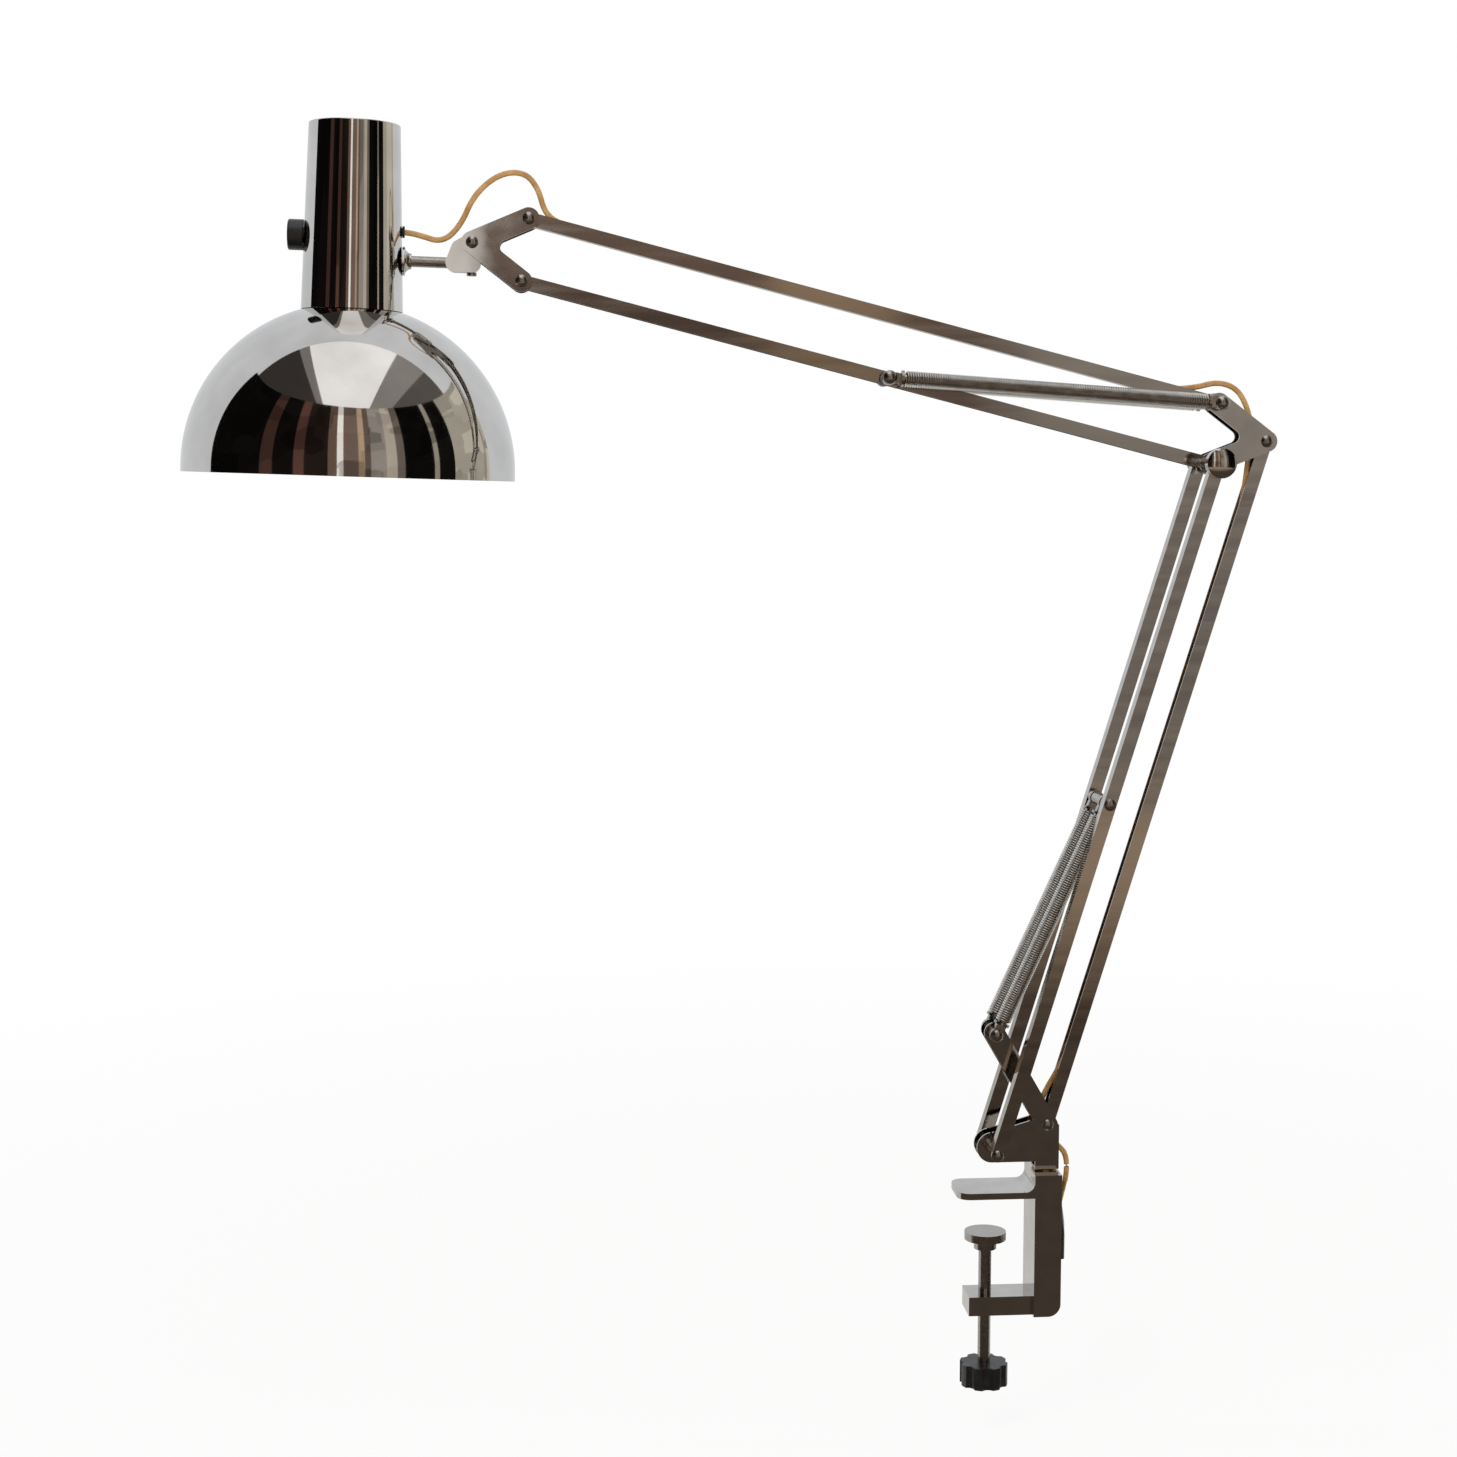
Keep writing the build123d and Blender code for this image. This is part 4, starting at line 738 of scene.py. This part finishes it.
stripes = bandsOf(tree, degrees.outputs[0], cardSpec["left"], cardSpec["right"], cardSpec["stripes"])
squashed = addNode(
    tree, "ShaderNodeMapping", inputs={"Vector": place, "Scale": (1, 1, cardSpec["blockSquash"])}
).outputs[0]
blocks = addNode(
    tree, "ShaderNodeTexVoronoi", {"distance": "CHEBYCHEV"},
    {"Vector": squashed, "Scale": perMetre(cardSpec["blockMm"])},
).outputs["Color"]
depth = addNode(tree, "ShaderNodeSeparateColor", inputs={"Color": blocks}).outputs[0]
strength = addNode(
    tree, "ShaderNodeMapRange",
    inputs={"Value": depth, "To Min": cardSpec["blockDim"], "To Max": cardSpec["blockBright"]},
).outputs["Result"]
surfaceFrom(tree, addNode(tree, "ShaderNodeEmission", inputs={"Color": stripes, "Strength": strength}))
mirrorCard(meshFrom(bm, "stripeCard"), "stripeCard", stripeCard)

# high card, bright along its middle
bm = bmesh.new()
bmesh.ops.create_grid(bm, x_segments=1, y_segments=1, size=0.5)
bmesh.ops.scale(bm, vec=(2 * cardSpec["radius"], cardSpec["highDepth"], 1), verts=bm.verts[:])
middle = cardSpec["highDepth"] / 2 - cardSpec["radius"]
bmesh.ops.translate(bm, verts=bm.verts[:], vec=(0, middle, cardSpec["top"]))
highCard, tree, _, place = startMaterial("highCard")
parts = addNode(tree, "ShaderNodeSeparateXYZ", inputs={"Vector": place})
panels = bandsOf(tree, parts.outputs["X"], -cardSpec["radius"], cardSpec["radius"], cardSpec["panels"])
surfaceFrom(tree, addNode(
    tree, "ShaderNodeEmission", inputs={"Color": panels, "Strength": cardSpec["panelGlow"]}
))
mirrorCard(meshFrom(bm, "highCard"), "highCard", highCard)

# low card: dark near the lamp, paler further off
bm = bmesh.new()
bmesh.ops.create_grid(bm, x_segments=1, y_segments=1, size=0.5)
bmesh.ops.scale(bm, vec=(2 * cardSpec["radius"], cardSpec["lowDepth"], 1), verts=bm.verts[:])
bmesh.ops.translate(bm, verts=bm.verts[:], vec=(0, -cardSpec["lowDepth"] / 2, cardSpec["lowHeight"]))
lowCard, tree, _, place = startMaterial("lowCard")
parts = addNode(tree, "ShaderNodeSeparateXYZ", inputs={"Vector": place})
near = addNode(
    tree, "ShaderNodeMapRange",
    inputs={"Value": parts.outputs["Y"], "From Min": cardSpec["lowFar"], "From Max": cardSpec["lowNear"]},
)
wood = rampBetween(tree, near.outputs["Result"], 0.0, 1.0, "#b09b86", "#4f453d")
surfaceFrom(tree, addNode(tree, "ShaderNodeEmission", inputs={"Color": wood, "Strength": 1.0}))
mirrorCard(meshFrom(bm, "lowCard"), "lowCard", lowCard)

# world: white to the camera, softer as light, and a pale sheet in reflections
world = bpy.data.worlds.new("studio")
scene.world = world
world.use_nodes = True
tree = world.node_tree
tree.nodes.clear()
light = addNode(tree, "ShaderNodeLightPath")
straight = seenStraight(tree, light)
white = addNode(tree, "ShaderNodeBackground", inputs={"Color": linearColour("#ffffff"), "Strength": 1.0})
soft = addNode(tree, "ShaderNodeBackground", inputs={"Color": linearColour("#f4f3f1"), "Strength": 0.55})
sheet = addNode(tree, "ShaderNodeBackground", inputs={"Color": linearColour("#dcdfe3"), "Strength": 1.0})
both = addNode(tree, "ShaderNodeMixShader", inputs={0: straight, 1: soft.outputs[0], 2: white.outputs[0]})
mirrored = addNode(
    tree, "ShaderNodeMixShader", inputs={0: light.outputs["Is Glossy Ray"], 1: both.outputs[0], 2: sheet.outputs[0]}
)
addNode(tree, "ShaderNodeOutputWorld", inputs={"Surface": mirrored.outputs[0]})

lampSpecs = (
    {"name": "keySoftbox", "place": (-1.4, -1.6, 2.2), "size": 1.4, "power": 38},
    {"name": "sideSoftbox", "place": (1.8, -1.0, 1.4), "size": 1.2, "power": 18},
)
for spec in lampSpecs:
    lampData = bpy.data.lights.new(spec["name"], "AREA")
    lampData.size = spec["size"]
    lampData.energy = spec["power"]
    lamp = bpy.data.objects.new(spec["name"], lampData)
    scene.collection.objects.link(lamp)
    lamp.location = spec["place"]
    aim = Vector(stageSpec["aim"]) - Vector(spec["place"])
    lamp.rotation_euler = aim.to_track_quat("-Z", "Y").to_euler()
    lamp.visible_glossy = False
print("studio lit")
